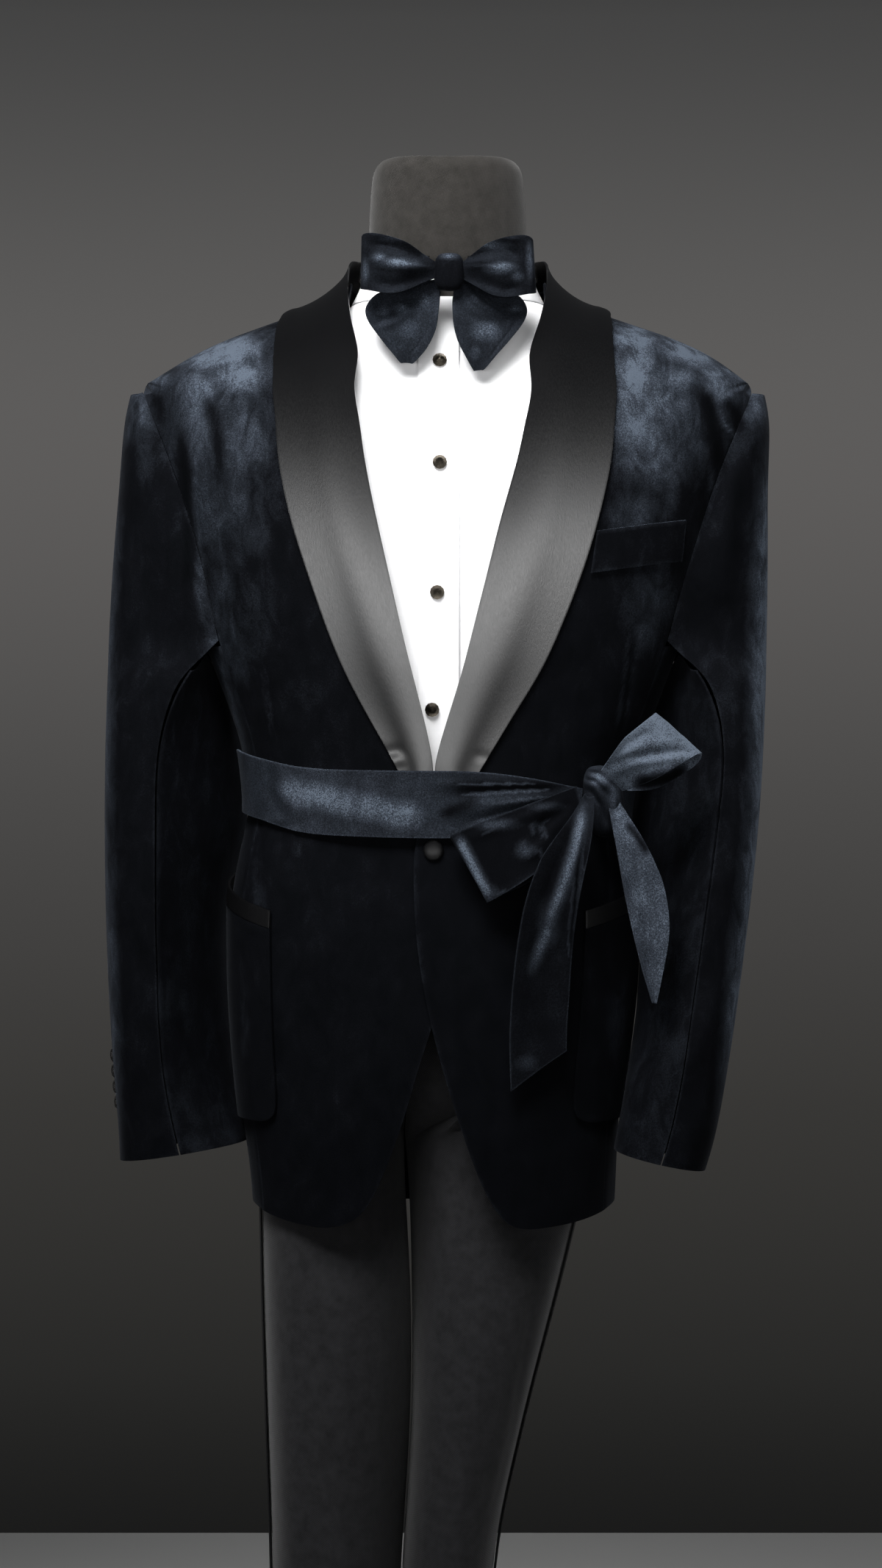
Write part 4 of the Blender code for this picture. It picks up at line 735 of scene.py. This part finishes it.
# The outer corner on the shoulder is drawn in towards the neck: height, and millimetres there.
SHOULDER_CORNER = ((1.405, 0.0), (1.425, -1.4), (1.437, 1.5), (1.447, 6.5), (1.457, 12.0),
                   (1.466, 12.0), (1.478, 8.0), (1.492, 2.0), (1.500, 0.0))
CORNER_START, CORNER_FADE = 0.085, 0.050
CORNER_LIFT = 0.5


def drape_collar(points):
    drape_jacket(points, COLLAR_FOLDS)
    outer = unit((np.abs(points[:, 0]) - CORNER_START) / CORNER_FADE) ** 2
    drawn = outer * MM * np.interp(points[:, 2], *zip(*SHOULDER_CORNER))
    points[:, 0] -= np.sign(points[:, 0]) * drawn
    points[:, 2] += CORNER_LIFT * np.maximum(drawn, 0.0)


for side in ("right", "left"):
    tailor(f"shawl_collar_{side}", satin, drape_collar, keep=0.0,
           rests_on=f"velvet_jacket_front_{side}")

# %% [markdown]
# ## Pockets and welt
# The patch pockets are velvet with a satin band across the top, and the breast pocket is a plain
# velvet welt. A Shrinkwrap modifier could lay them on the jacket, but with the jacket's own folds
# pressed into them they follow it as closely.

# %% Pockets and the welt
# Pockets take the jacket's painted sheen and a painted edge highlight, and the welt a strong
# painted highlight on its top and edges.
for side in ("right", "left"):
    tailor(f"pocket_{side}", velvet, drape_jacket, rests_on=f"velvet_jacket_front_{side}",
           spots=JACKET_NAP_AND_SHEEN, edge=0.16)
    tailor(f"pocket_trim_{side}", dull_satin, drape_jacket, edge_mm=0.6,
           rests_on=f"velvet_pocket_{side}")
tailor("breast_welt", velvet, drape_jacket, rests_on="velvet_jacket_front_left", base=0.22,
       top_light=0.6, edge=0.36)

# %% [markdown]
# ## The sash
# A strip of the same velvet, brushed the other way so that it looks lighter, with painted sheen on
# its nap as well. Its folds start flat at the far side and run together into the knot, and the
# turned edges stand up as thin rims with a painted highlight. A sculpting brush could pull such
# folds, but lines that run together are easier to put right.

# %% Sash band
SASH_FOLDS = [
    (2.7, 5, 6, 1053, 46, 1064, 100, 1077), (-2.2, 5.5, -16, 1064, 40, 1072.5, 104, 1081),
    (2.2, 4.5, -4, 1078, 46, 1081.5, 104, 1085), (-1.5, 4, -20, 1087, 40, 1088, 100, 1087),
    (2.1, 5, -138, 1108, -141, 1085, -126, 1056), (-1.8, 5, -128, 1106, -131, 1085, -114, 1056),
    (-1.8, 12, -110, 1080, -40, 1072, 0, 1070),
]
# Nap of the sash with painted sheen where the light falls; lines below 0 are painted shade.
SASH_NAP_AND_SHEEN = [
    (0.52, -142, 1092, 20, 26), (0.42, 30, 1082, 50, 6), (0.46, 60, 1071, 30, 4),
    (0.96, -32, 1066, 24, 10),
]
SASH_NAP_AND_SHEEN_LINES = [
    (0.86, 20, -160, 1098, -110, 1080, -50, 1067, 14, 1057),
    (-0.6, 9, -5, 1087, 30, 1086, 70, 1086, 105, 1084), (-0.6, 5, -6, 1062, 10, 1070, 30, 1076),
]
# Painted highlights on the sash's tops and rolled edges.
for node, levels, folds in (("sash_front", 3, SASH_FOLDS), ("sash_back", 2, ())):
    tailor(node, brushed_velvet, lambda points: drape_jacket(points, folds), levels,
           rests_on="velvet_jacket_front_right", spots=SASH_NAP_AND_SHEEN, lines=SASH_NAP_AND_SHEEN_LINES,
           base=0.52, top_light=0.2, edge=0.66)

# %% [markdown]
# ## Loops and tails of the sash
# The loops are the strip turned back on itself, so their far ends are rolled. Creases fan out from
# the knot, and the tails' upper ends gather under it.

# %% Folds, nap and painted sheen of the loops and tails
UPPER_LOOP_FOLDS = [
    (2, 3.2, 119, 1097, 145, 1109, 182, 1113.5, 200, 1112),
    (-1.6, 3, 124, 1092, 150, 1103, 184, 1109, 200, 1108),
    (1.6, 3, 130, 1105, 150, 1121, 166, 1132), (-1.6, 4, 134, 1104, 158, 1118, 184, 1122),
]
LOWER_LOOP_FOLDS = [
    (-1.6, 4, 10, 1042, 44, 1055, 80, 1069, 102, 1079), (2.4, 5, 100, 1072, 83, 1060, 68, 1052),
    (-2.6, 5, 58, 1046, 66, 1034, 78, 1038), (2.6, 5, 73, 1061, 77, 1051, 76, 1044),
    (1.8, 5, 100, 1066, 86, 1045, 80, 1030), (-1.8, 3.6, 8, 1043, 20, 1020, 33, 999),
    (-1.4, 3, 34, 999, 56, 1008, 76, 1021),
]
LONG_TAIL_FOLDS = [
    (-2.4, 4.5, 110, 1072, 100, 1030, 86, 992, 70, 965),
    (2, 5, 104, 1060, 88, 1025, 76, 995, 66, 985),
    (1.8, 3, 110, 1062, 106.5, 1030, 101, 975, 98, 890),
    (-1.8, 3, 106, 1062, 102, 1030, 97, 975, 94, 885), (1.4, 8, 78, 960, 74, 910, 70, 870),
    (-1.4, 6, 62, 960, 60, 910, 58, 860),
]
SHORT_TAIL_FOLDS = [
    (2, 3.4, 152, 1040, 154, 1010, 157, 985, 162, 930), (-1.6, 3.6, 161, 1030, 163, 995, 165, 940),
    (3.4, 4.6, 141, 1052, 150, 1044, 156, 1036), (-2.2, 4, 139, 1044, 147, 1034, 158, 1030),
]
# Folds, nap spots, nap lines and the nap between them. Spots and lines above 0 are painted sheen,
# and lines below 0 painted shade.
RIBBON_LOOK = {
    "sash_loop_upper": (UPPER_LOOP_FOLDS, [
        (1.00, 168, 1126, 40, 20), (1.00, 138, 1114, 30, 14)], [
        (-1.0, 6.0, 144, 1090, 160, 1089, 178, 1093, 194, 1103)], 0.92),
    "sash_loop_lower": (LOWER_LOOP_FOLDS, [
        (0.72, 30, 1004, 14, 8), (0.66, 40, 1056.5, 22, 6),
        (0.70, 62, 1036, 9, 8), (0.56, 80, 1070.5, 20, 5)], [
        (0.92, 6.0, 6, 1056, 17, 1034, 27, 1014, 40, 990)], 0.20),
    "sash_tail_long": (LONG_TAIL_FOLDS, [
        (0.50, 64, 870, 14, 10), (0.60, 80, 975, 12, 20)], [
        (0.84, 7.0, 112, 1095, 102, 1040, 90, 1003, 76, 965, 60, 920),
        (0.50, 2.0, 109, 1090, 106, 1020, 100, 960, 96, 850)], 0.26),
    "sash_tail_short": (SHORT_TAIL_FOLDS, [
        (0.80, 152, 1000, 20, 50)], [
        (-0.70, 3.0, 141, 1060, 150, 1048, 157, 1038, 158, 1030)], 0.72),
}
print("ribbons:", len(RIBBON_LOOK))

# %% [markdown]
# ## Shaping the ribbons
# A ribbon's creases show on the side that faces forwards, so they fade out behind its middle. Its
# end could be drawn together with a hook or by hand, but in code it is done by measure.

# %% Sash loops and tails
# Each tail's upper end: the height where it starts to gather, how far it goes up, across and back
# in millimetres, how much of its width is left, and where its middle line is.
TAIL_ENDS = {
    "sash_tail_long": (1.030, 15.0, 2.0, 22.0, 0.55, 0.111),
    "sash_tail_short": (1.012, 25.0, -6.0, 8.0, 0.70, 0.139),
}
LOOP_LET_OUT = 6.0 * MM
LOOP_SHOULDER, LOOP_TIP, LET_OUT_FADE = 1.095, 0.175, 0.03
RIBBON_FRONT = 0.02
RIBBON_UNEVEN, RIBBON_WAVE = 0.5 * MM, 16 * MM


def let_out_loop(points):
    """The upper loop leaves the knot broad, so its upper edge is let out towards the knot."""
    high = unit((points[:, 2] - LOOP_SHOULDER) / LET_OUT_FADE)
    points[:, 0] -= LOOP_LET_OUT * high * unit((LOOP_TIP - points[:, 0]) / LET_OUT_FADE)


def gather_end(points, start, rise, over, back, narrow, centre):
    """Draws a tail's upper end together, and up under the knot."""
    share = unit((points[:, 2] - start) / (points[:, 2].max() - start)) ** 1.5
    points[:, 0] += share * (over * MM + (narrow - 1.0) * (points[:, 0] - centre))
    points[:, 1] += back * MM * share ** 2
    points[:, 2] += rise * MM * share


def shape_ribbon(points, node, folds):
    middle = (points[:, 1].min() + points[:, 1].max()) / 2
    press(points, folds, front_of(points, middle + RIBBON_FRONT))
    points[:, 1] += RIBBON_UNEVEN * uneven(points, RIBBON_WAVE)
    if node == "sash_loop_upper":
        let_out_loop(points)
    if node in TAIL_ENDS:
        gather_end(points, *TAIL_ENDS[node])


# Painted highlights on the ribbons' tops and rolled edges.
for node, (folds, spots, lines, base) in RIBBON_LOOK.items():
    tailor(node, brushed_velvet, lambda points: shape_ribbon(points, node, folds), edge_mm=0.7,
           rests_on="velvet_sash_knot", spots=spots, lines=lines, base=base, top_light=0.15,
           edge=0.50)

# %% [markdown]
# ## The sash's knot
# One turn of cloth is wrapped over the rest. It runs from the upper left over the knot and down
# its right side. It could be modelled strand by strand, but so small a knot reads well as one
# rounded lump, leaned over and stretched a little, with the gaps between its strands pressed in.

# %% Sash knot
KNOT_STRANDS = [
    (2.4, 1.8, 104, 1093, 118, 1090, 129, 1079, 136, 1062),
    (2, 1.8, 106, 1099, 122, 1096, 135, 1085, 142, 1066),
    (2.4, 1.8, 106, 1086, 116, 1081, 123, 1070, 128, 1052),
    (-2, 2.6, 106, 1089.5, 118, 1086, 126.5, 1074.5, 133, 1056),
    (-1.6, 2.6, 106, 1096, 121, 1093, 132.5, 1082, 140, 1064),
]
KNOT_LEAN, KNOT_DROP, KNOT_STRETCH = 6.0 * MM, 2.0 * MM, 8.0 * MM
KNOT_FRONT = 28 * MM


def shape_knot(points):
    low, high = points[:, 2].min(), points[:, 2].max()
    share = (points[:, 2] - low) / (high - low)
    points[:, 0] += KNOT_LEAN * (0.5 - share)
    points[:, 2] = low - KNOT_DROP + share * (high - low + KNOT_STRETCH)
    press(points, KNOT_STRANDS, front_of(points, points[:, 1].min() + KNOT_FRONT))


# Nap of the knot with painted sheen, and a painted highlight on its top.
KNOT_NAP_AND_SHEEN = [(0.80, 124, 1092, 14, 8), (0.76, 133, 1078, 8, 18), (0.60, 106, 1092, 16, 5)]
tailor("sash_knot", brushed_velvet, shape_knot, edge_mm=0, spots=KNOT_NAP_AND_SHEEN, base=0.34,
       top_light=0.25)

# %% [markdown]
# ## Bow tie
# A velvet butterfly bow: two puffed loops in front, two leaf-shaped tails behind and below, and a
# knot wound round the middle. Each loop is gathered at the knot, so a ridge runs out along its
# middle between two valleys, and its outer end rolls over as a rim.

# %% Folds, nap and painted sheen of the bow
BOW_FOLDS = [
    (-3.2, 4.6, -4, 1495, -30, 1493.5, -50, 1498, -62, 1501),
    (3.4, 4.4, -4, 1500, -24, 1504, -44, 1510, -64, 1512),
    (3.4, 4.6, -4, 1490, -24, 1484, -42, 1479, -60, 1484),
    (-2, 3, -20, 1512, -44, 1519, -64, 1519), (-2.2, 3.2, -64, 1520, -63.5, 1494, -60, 1474),
    (1, 1.6, -8, 1496, -24, 1497, -40, 1500),
    (-3.4, 4.6, 10, 1496, 34, 1495.5, 52, 1493, 62, 1487),
    (3.4, 4.4, 10, 1499, 28, 1505, 47, 1508, 64, 1500),
    (3.4, 4.6, 10, 1490, 30, 1482, 48, 1476, 66, 1479), (-2, 3, 18, 1509, 44, 1517, 66, 1515),
    (-2.2, 3.2, 66, 1517, 70, 1494, 68.5, 1474), (1, 1.6, 14, 1496.5, 28, 1496.5, 46, 1495),
]
# Nap of the loops with painted sheen, bright along their ridges and rims.
BOW_LOOP_NAP_AND_SHEEN = [
    (0.84, -36, 1496.5, 22, 6), (0.70, -52, 1501, 9, 6), (0.62, -14, 1505, 8, 5),
    (0.66, -63, 1490, 5, 16), (0.62, -40, 1516, 22, 4), (0.92, 44, 1492.5, 17, 6),
    (0.74, 57, 1487, 7, 6), (0.82, 34, 1511, 22, 5), (0.80, 67, 1500, 5, 18),
]
TAIL_FOLDS = [
    (1.8, 2.6, -58, 1451, -42, 1458, -26, 1470), (-1.6, 3, -56, 1446, -40, 1452, -22, 1464),
    (1.8, 2.6, -48, 1466, -34, 1476, -20, 1482), (-1.4, 2.6, -54, 1462, -40, 1470, -26, 1478),
    (1.8, 2.6, 14, 1486, 30, 1473, 45, 1463.5, 62, 1465),
    (-1.6, 3, 12, 1480, 28, 1467, 45, 1458, 58, 1459), (1.4, 4, 10, 1462, 26, 1455, 46, 1451),
    (0.9, 1, -8.5, 1462, -12.5, 1447, -21, 1434, -29, 1424.5),
    (0.9, 1, -60, 1466, -51.5, 1451, -42, 1437, -35, 1426),
    (0.9, 1, 9.5, 1462, 11.5, 1445, 18, 1431, 24.5, 1420),
    (0.9, 1, 64, 1466, 53.5, 1449, 43, 1435, 32, 1419),
]
# Nap of the tails with painted sheen.
TAIL_NAP_AND_SHEEN = [
    (0.62, -30, 1448, 20, 18), (0.62, -16, 1470, 10, 14), (0.76, -35, 1463.5, 12, 8),
    (0.70, -48, 1462, 12, 8), (0.62, 24, 1473, 8, 10), (0.76, 32, 1445, 20, 14),
    (0.66, 56, 1464, 12, 6), (0.74, 24, 1428, 8, 10), (0.46, 28, 1458, 16, 5),
]
BOW_KNOT_FOLDS = [(0.9, 1.6, -2, 1504, 0, 1492, -1, 1480), (0.7, 1.6, 8, 1504, 6, 1492, 8, 1480)]
print("bow folds:", len(BOW_FOLDS), len(TAIL_FOLDS))

# %% [markdown]
# ## Gathering the bow
# Loops and tails draw together at the knot. The folds alone leave their ends as wide as they were
# cut, so the points near the knot are moved in towards the bow's middle.

# %% Bow tie
BOW_MIDDLE = 0.0035
BOW_FRONT, BOW_KNOT_FRONT = -0.090, -0.095
LOOP_GATHER, LOOP_END, LOOP_END_FADE = 2.6 * MM, 0.010, 0.012
TAIL_GATHER = (3.0 * MM, 2.0 * MM, 7.0 * MM)
TAIL_TOP, TAIL_TOP_OUT, TAIL_TOP_REACH = 1.480, 0.009, 0.022
KNOT_PLUMP = 0.12


def shape_bow_loop(points):
    press(points, BOW_FOLDS, front_of(points, BOW_FRONT))
    from_middle = points[:, 0] - BOW_MIDDLE
    gather = unit(1.0 - (np.abs(from_middle) - LOOP_END) / LOOP_END_FADE)
    points[:, 0] -= np.sign(from_middle) * LOOP_GATHER * gather


def shape_bow_tail(points):
    press(points, TAIL_FOLDS, 1.0)
    from_middle = points[:, 0] - BOW_MIDDLE
    away = np.hypot(np.abs(from_middle) - TAIL_TOP_OUT, points[:, 2] - TAIL_TOP)
    gather = unit(1.0 - away / TAIL_TOP_REACH)
    across, back, up = TAIL_GATHER
    points[:, 0] -= np.sign(from_middle) * across * gather
    points[:, 1] += back * gather
    points[:, 2] += up * gather


def shape_bow_knot(points):
    press(points, BOW_KNOT_FOLDS, front_of(points, BOW_KNOT_FRONT))
    points[:, 0] += KNOT_PLUMP * (points[:, 0] - BOW_MIDDLE)


# Each piece takes painted highlights on its tops and rolled edges; the knot has one painted
# highlight spot.
for side in ("right", "left"):
    tailor(f"bow_loop_{side}", brushed_velvet, shape_bow_loop, edge_mm=0.7,
           rests_on="velvet_bow_knot", spots=BOW_LOOP_NAP_AND_SHEEN, base=0.30, top_light=0.2, edge=0.42)
    tailor(f"bow_tail_{side}", brushed_velvet, shape_bow_tail, edge_mm=0.7,
           rests_on="velvet_bow_knot", spots=TAIL_NAP_AND_SHEEN, base=0.46, top_light=0.2, edge=0.5)
tailor("bow_knot", brushed_velvet, shape_bow_knot, edge_mm=0, spots=[(0.66, 3.5, 1503, 10, 4)],
       base=0.24, top_light=0.2)
tailor("bow_strap", satin, levels=2, edge_mm=0.3, rests_on="poplin_shirt_collar")

# %% [markdown]
# ## Shirt
# Smooth white poplin under the jacket. It only shows in the opening, where it bags a little beside
# the lapels and below the bow. What the jacket hides could be left out, but the shirt is whole, as
# a real one is, and its back and collar are only rounded less finely.

# %% Shirt
SHIRT_FOLDS = [
    (1.4, 7, -40, 1420, -50, 1360, -40, 1300), (-1.2, 8, -26, 1400, -34, 1330, -26, 1250),
    (1.4, 7, 36, 1420, 44, 1350, 30, 1280), (-1.2, 8, 22, 1390, 28, 1310, 18, 1230),
    (1, 5, -30, 1250, -22, 1190, -16, 1140),
]
for part, levels in (("front_right", 3), ("front_left", 3), ("back", 2), ("placket", 3),
                     ("collar", 2)):
    tailor(f"shirt_{part}", poplin,
           lambda points: press(points, SHIRT_FOLDS, front_of(points)), levels, edge_mm=0.3)

# %% [markdown]
# ## Trousers
# Charcoal barathea with a satin stripe down each side seam. The cloth hangs from the hips in long
# soft folds and breaks slightly at the knee. The stripe could be painted in the cloth's shader,
# but it is a braid that is sewn on, so it is a piece of its own.

# %% Trousers
LEG_FOLDS = [
    (2.6, 12, -118, 730, -112, 600, -104, 460, -100, 300),
    (-2.4, 12, -86, 740, -82, 600, -80, 450, -78, 250), (2, 10, -60, 700, -58, 580, -56, 450),
    (-1.6, 9, -132, 660, -126, 540, -122, 420),
    (1.8, 3, 73.5, 735, 68, 671, 61, 616, 52, 561, 30, 480),
    (-2.2, 12, 30, 730, 26, 620, 14, 500, 6, 380), (2.2, 10, 0, 720, 0, 600, -6, 480, -8, 340),
    (1.8, 9, -100, 400, -80, 372, -60, 366), (-1.6, 9, -110, 360, -85, 340, -62, 340),
    (1.6, 9, 20, 390, 0, 372, -16, 372), (2, 9, -108, 160, -90, 128, -66, 120),
    (-1.8, 9, -104, 120, -86, 96, -64, 90), (2, 9, 24, 160, 4, 128, -18, 120),
    (-1.8, 9, 20, 120, 2, 96, -18, 90),
]
# The right leg falls back along its inner side, behind the left one.
RIGHT_INSEAM_FOLDS = [
    (7, 11, -38, 740, -36, 620, -42, 460, -46, 200, -46, 60),
]
LEG_BACK_FOLDS = [
    (-2.4, 14, -95, 800, -90, 600, -90, 400), (2.4, 12, -120, 500, -92, 440, -64, 430),
    (2.2, 12, 30, 520, 0, 450, -18, 440), (-2.2, 14, 50, 800, 24, 620, 4, 420),
]


def drape_leg(points, side):
    press(points, LEG_FOLDS, front_of(points))
    press(points, LEG_BACK_FOLDS, front_of(points, TURN_DEPTH) - 1.0)
    if side == "right":
        press(points, RIGHT_INSEAM_FOLDS, front_of(points))


for side in ("right", "left"):
    for part, levels, finish in (("trouser_front", 3, barathea), ("trouser_back", 2, barathea),
                                 ("satin_stripe", 2, stripe_satin)):
        tailor(f"{part}_{side}", finish, lambda points: drape_leg(points, side), levels,
               edge_mm=0.3)
tailor("trouser_waistband", barathea, levels=2, edge_mm=0.3)

# %% [markdown]
# ## Button, neck block and form
# The one front button is covered in satin, and a soft copy rounds its dome. The neck block's top
# dips a little between its rounded shoulders, because the jersey is stretched over it by hand.

# %% Button, neck block and form
NECK_MIDDLE = 0.003
NECK_TALLER, NECK_DIP, NECK_WIDER, NECK_SHIFT = 4.0 * MM, 3.0 * MM, 0.035, 0.5 * MM
NECK_FOOT, NECK_HEIGHT, RIM_FOOT, RIM_HEIGHT = 1.500, 0.09, 1.575, 0.015


def shape_neck(points):
    dip = spot_field(points, 3, 1592, 34, 30) * unit((points[:, 2] - RIM_FOOT) / RIM_HEIGHT)
    points[:, 2] += NECK_TALLER * unit((points[:, 2] - NECK_FOOT) / NECK_HEIGHT) - NECK_DIP * dip
    points[:, 0] += NECK_WIDER * (points[:, 0] - NECK_MIDDLE) - NECK_SHIFT


button = soft_copy("front_button", "covered_front_button", 3)
button.data.materials.append(dull_satin)
declare(button, "front_button")
tailor("neck_block", jersey, shape_neck, levels=2, edge_mm=0)
tailor("dress_form", jersey, levels=2, edge_mm=0)

# %% [markdown]
# ## Cuff buttons, studs and stand
# The small hard pieces are turned, and their solids already have that shape. They could be copied
# and rounded like the cloth, but they only need their finish.

# %% Hard pieces keep their solids
HARD = {"cuff_button": horn, "shirt_stud": gunmetal, "stand_": steel}
for name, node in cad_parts.items():
    for start, finish in HARD.items():
        if name.startswith(start):
            for slot in node.material_slots:
                slot.material = finish
print("hard pieces:", sum(name.startswith(tuple(HARD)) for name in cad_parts))

# %% [markdown]
# ## Floor and flag
# A pale floor ends well behind the suit. A black flag, a card that stands in front and is hidden
# from the camera, keeps the front light off the legs and the floor. A narrower light could do so
# too, but it would leave the collar's satin less to mirror.

# %% Floor and flag
FLOOR_END = 2.34
FLOOR_WIDE, FLOOR_DEEP = 24.0, 14.0
FLAG_WIDE, FLAG_HIGH, FLAG_PLACE = 8.0, 0.94, -2.5


def add_card(name, finish, tones, wide, high, place, tilt):
    """A flat, matt card of the studio, with a faint cloudiness to its paint."""
    bpy.ops.mesh.primitive_plane_add(size=1, location=place, rotation=(math.radians(tilt), 0, 0))
    card = bpy.context.object
    card.name = name
    card.scale = (wide, high, 1)
    bpy.ops.object.transform_apply(location=True, rotation=True, scale=True)
    material, tree, shader, spot = new_material(finish)
    cloud = add_node(tree, "ShaderNodeTexNoise", Vector=(spot, "Object"), Scale=0.8, Detail=2.0)
    tone = add_node(tree, "ShaderNodeValToRGB", Fac=(cloud, "Fac"))
    ramp_stops(tone, [(0.3, tones[0]), (0.7, tones[1])])
    plug(tree, shader, Base_Color=(tone, "Color"), Roughness=0.9, Specular_IOR_Level=0.2)
    card.data.materials.append(material)
    card.select_set(False)
    return card


add_card("pale_floor", "pale_floor_paint", ("#9c9c9b", "#a4a4a3"), FLOOR_WIDE, FLOOR_DEEP,
         (0, FLOOR_END - FLOOR_DEEP / 2, 0), 0)
flag = add_card("black_flag", "black_flag_cloth", ("#0a0a0a", "#0c0c0c"), FLAG_WIDE, FLAG_HIGH,
                (0, FLAG_PLACE, FLAG_HIGH / 2), 90)
flag.visible_camera = False
print("floor ends at:", FLOOR_END)

# %% [markdown]
# ## Lights
# One softbox hangs above, in front and to the left, and is kept out of reflections. A long one far
# in front, a little below chest height, is what the satin mirrors. A weak strip on each side draws
# the outline, and two softboxes behind light the back. A picture of a studio could light it all,
# but area lights are placed and measured like real ones.

# %% Softboxes
SOFTBOXES = (
    # name, size across and up, place, what it points at, power in watts, spread, seen in gloss
    ("key_softbox", (1.3, 1.0), (-0.45, -1.4, 2.9), (0.0, 0.0, 1.34), 16.0, 64, False),
    ("front_softbox", (8.0, 0.6), (0.0, -4.6, 0.98), (0.0, 0.0, 1.20), 118.0, 180, True),
    ("left_strip", (0.35, 1.8), (-1.9, 0.3, 1.6), (0.0, 0.0, 1.2), 6.0, 180, False),
    ("right_strip", (0.35, 1.8), (1.9, 0.3, 1.6), (0.0, 0.0, 1.2), 6.0, 180, False),
    ("back_left", (1.2, 1.6), (-1.7, 2.4, 2.1), (0.0, 0.0, 1.10), 14.0, 75, False),
    ("back_right", (1.2, 1.6), (1.7, 2.4, 2.1), (0.0, 0.0, 1.10), 14.0, 75, False),
)
for name, (wide, high), place, target, power, spread, in_gloss in SOFTBOXES:
    light = bpy.data.lights.new(name, "AREA")
    light.shape = "RECTANGLE"
    light.size, light.size_y, light.energy = wide, high, power
    light.spread = math.radians(spread)
    lamp = bpy.data.objects.new(name, light)
    lamp.location = place
    lamp.rotation_euler = (Vector(target) - Vector(place)).to_track_quat("-Z", "Y").to_euler()
    lamp.visible_camera = False
    lamp.visible_glossy = in_gloss
    bpy.context.scene.collection.objects.link(lamp)
print("lights:", len(SOFTBOXES))

# %% [markdown]
# ## Backdrop
# The grey behind the suit is painted light: lightest a little above eye level and darker towards
# the floor. A wall could be painted so, but it would stand in the way of a look from behind, so
# the world takes its place. It lights the suit weakly and evenly, and a Light Path node shows
# these greys to the camera alone.

# %% Backdrop
# Painted light: the backdrop grey is lightest a little above eye level and darker towards the
# bottom.
BACKDROP = [(0.05, "#161616"), (0.155, "#272726"), (0.31, "#393836"), (0.40, "#3f3e3d"),
            (0.53, "#4e4d4c"), (0.66, "#5e5c5b"), (0.79, "#5e5d5c"), (0.95, "#3d3d3d")]
# The other three sides of the room are a plain grey, with the floor's grey carried on below.
REST_OF_ROOM = [(0.0, "#4a4a49"), (0.30, "#5a5a59"), (0.45, "#62615f"), (0.50, "#565554"),
                (0.70, "#5e5c5b"), (1.0, "#4a4a49")]
world = bpy.data.worlds.new("grey_backdrop")
world.use_nodes = True
tree = world.node_tree
room = tree.nodes["Background"]
plug(tree, room, Color=linear("#d9dce0"), Strength=0.06)
place = add_node(tree, "ShaderNodeTexCoord")
direction = add_node(tree, "ShaderNodeSeparateXYZ", Vector=(place, "Generated"))
# 0 is 13 degrees below the horizon, and 1 is as far above it.
height = add_node(tree, "ShaderNodeMath", {"operation": "MULTIPLY_ADD"},
                  _0=(direction, "Z"), _1=2.2, _2=0.5)
tone = add_node(tree, "ShaderNodeValToRGB", Fac=(height, "Value"))
ramp_stops(tone, BACKDROP)
tone.color_ramp.interpolation = "B_SPLINE"
rest = add_node(tree, "ShaderNodeValToRGB", Fac=(height, "Value"))
ramp_stops(rest, REST_OF_ROOM)
# 1 up to 65 degrees from straight ahead, and 0 from 76 degrees on.
behind = add_node(tree, "ShaderNodeMath", {"operation": "MULTIPLY_ADD", "use_clamp": True},
                  _0=(direction, "Y"), _1=6.0, _2=-1.5)
walls = add_node(tree, "ShaderNodeMixRGB", Fac=(behind, "Value"), Color1=(rest, "Color"),
                 Color2=(tone, "Color"))
backdrop = add_node(tree, "ShaderNodeBackground", Color=(walls, "Color"))
seen = add_node(tree, "ShaderNodeLightPath")
both = add_node(tree, "ShaderNodeMixShader", Fac=(seen, "Is Camera Ray"),
                _1=(room, "Background"), _2=(backdrop, "Background"))
plug(tree, tree.nodes["World Output"], Surface=(both, "Shader"))
bpy.context.scene.world = world
bpy.context.scene.view_settings.view_transform = "Standard"
print("backdrop greys:", len(BACKDROP))
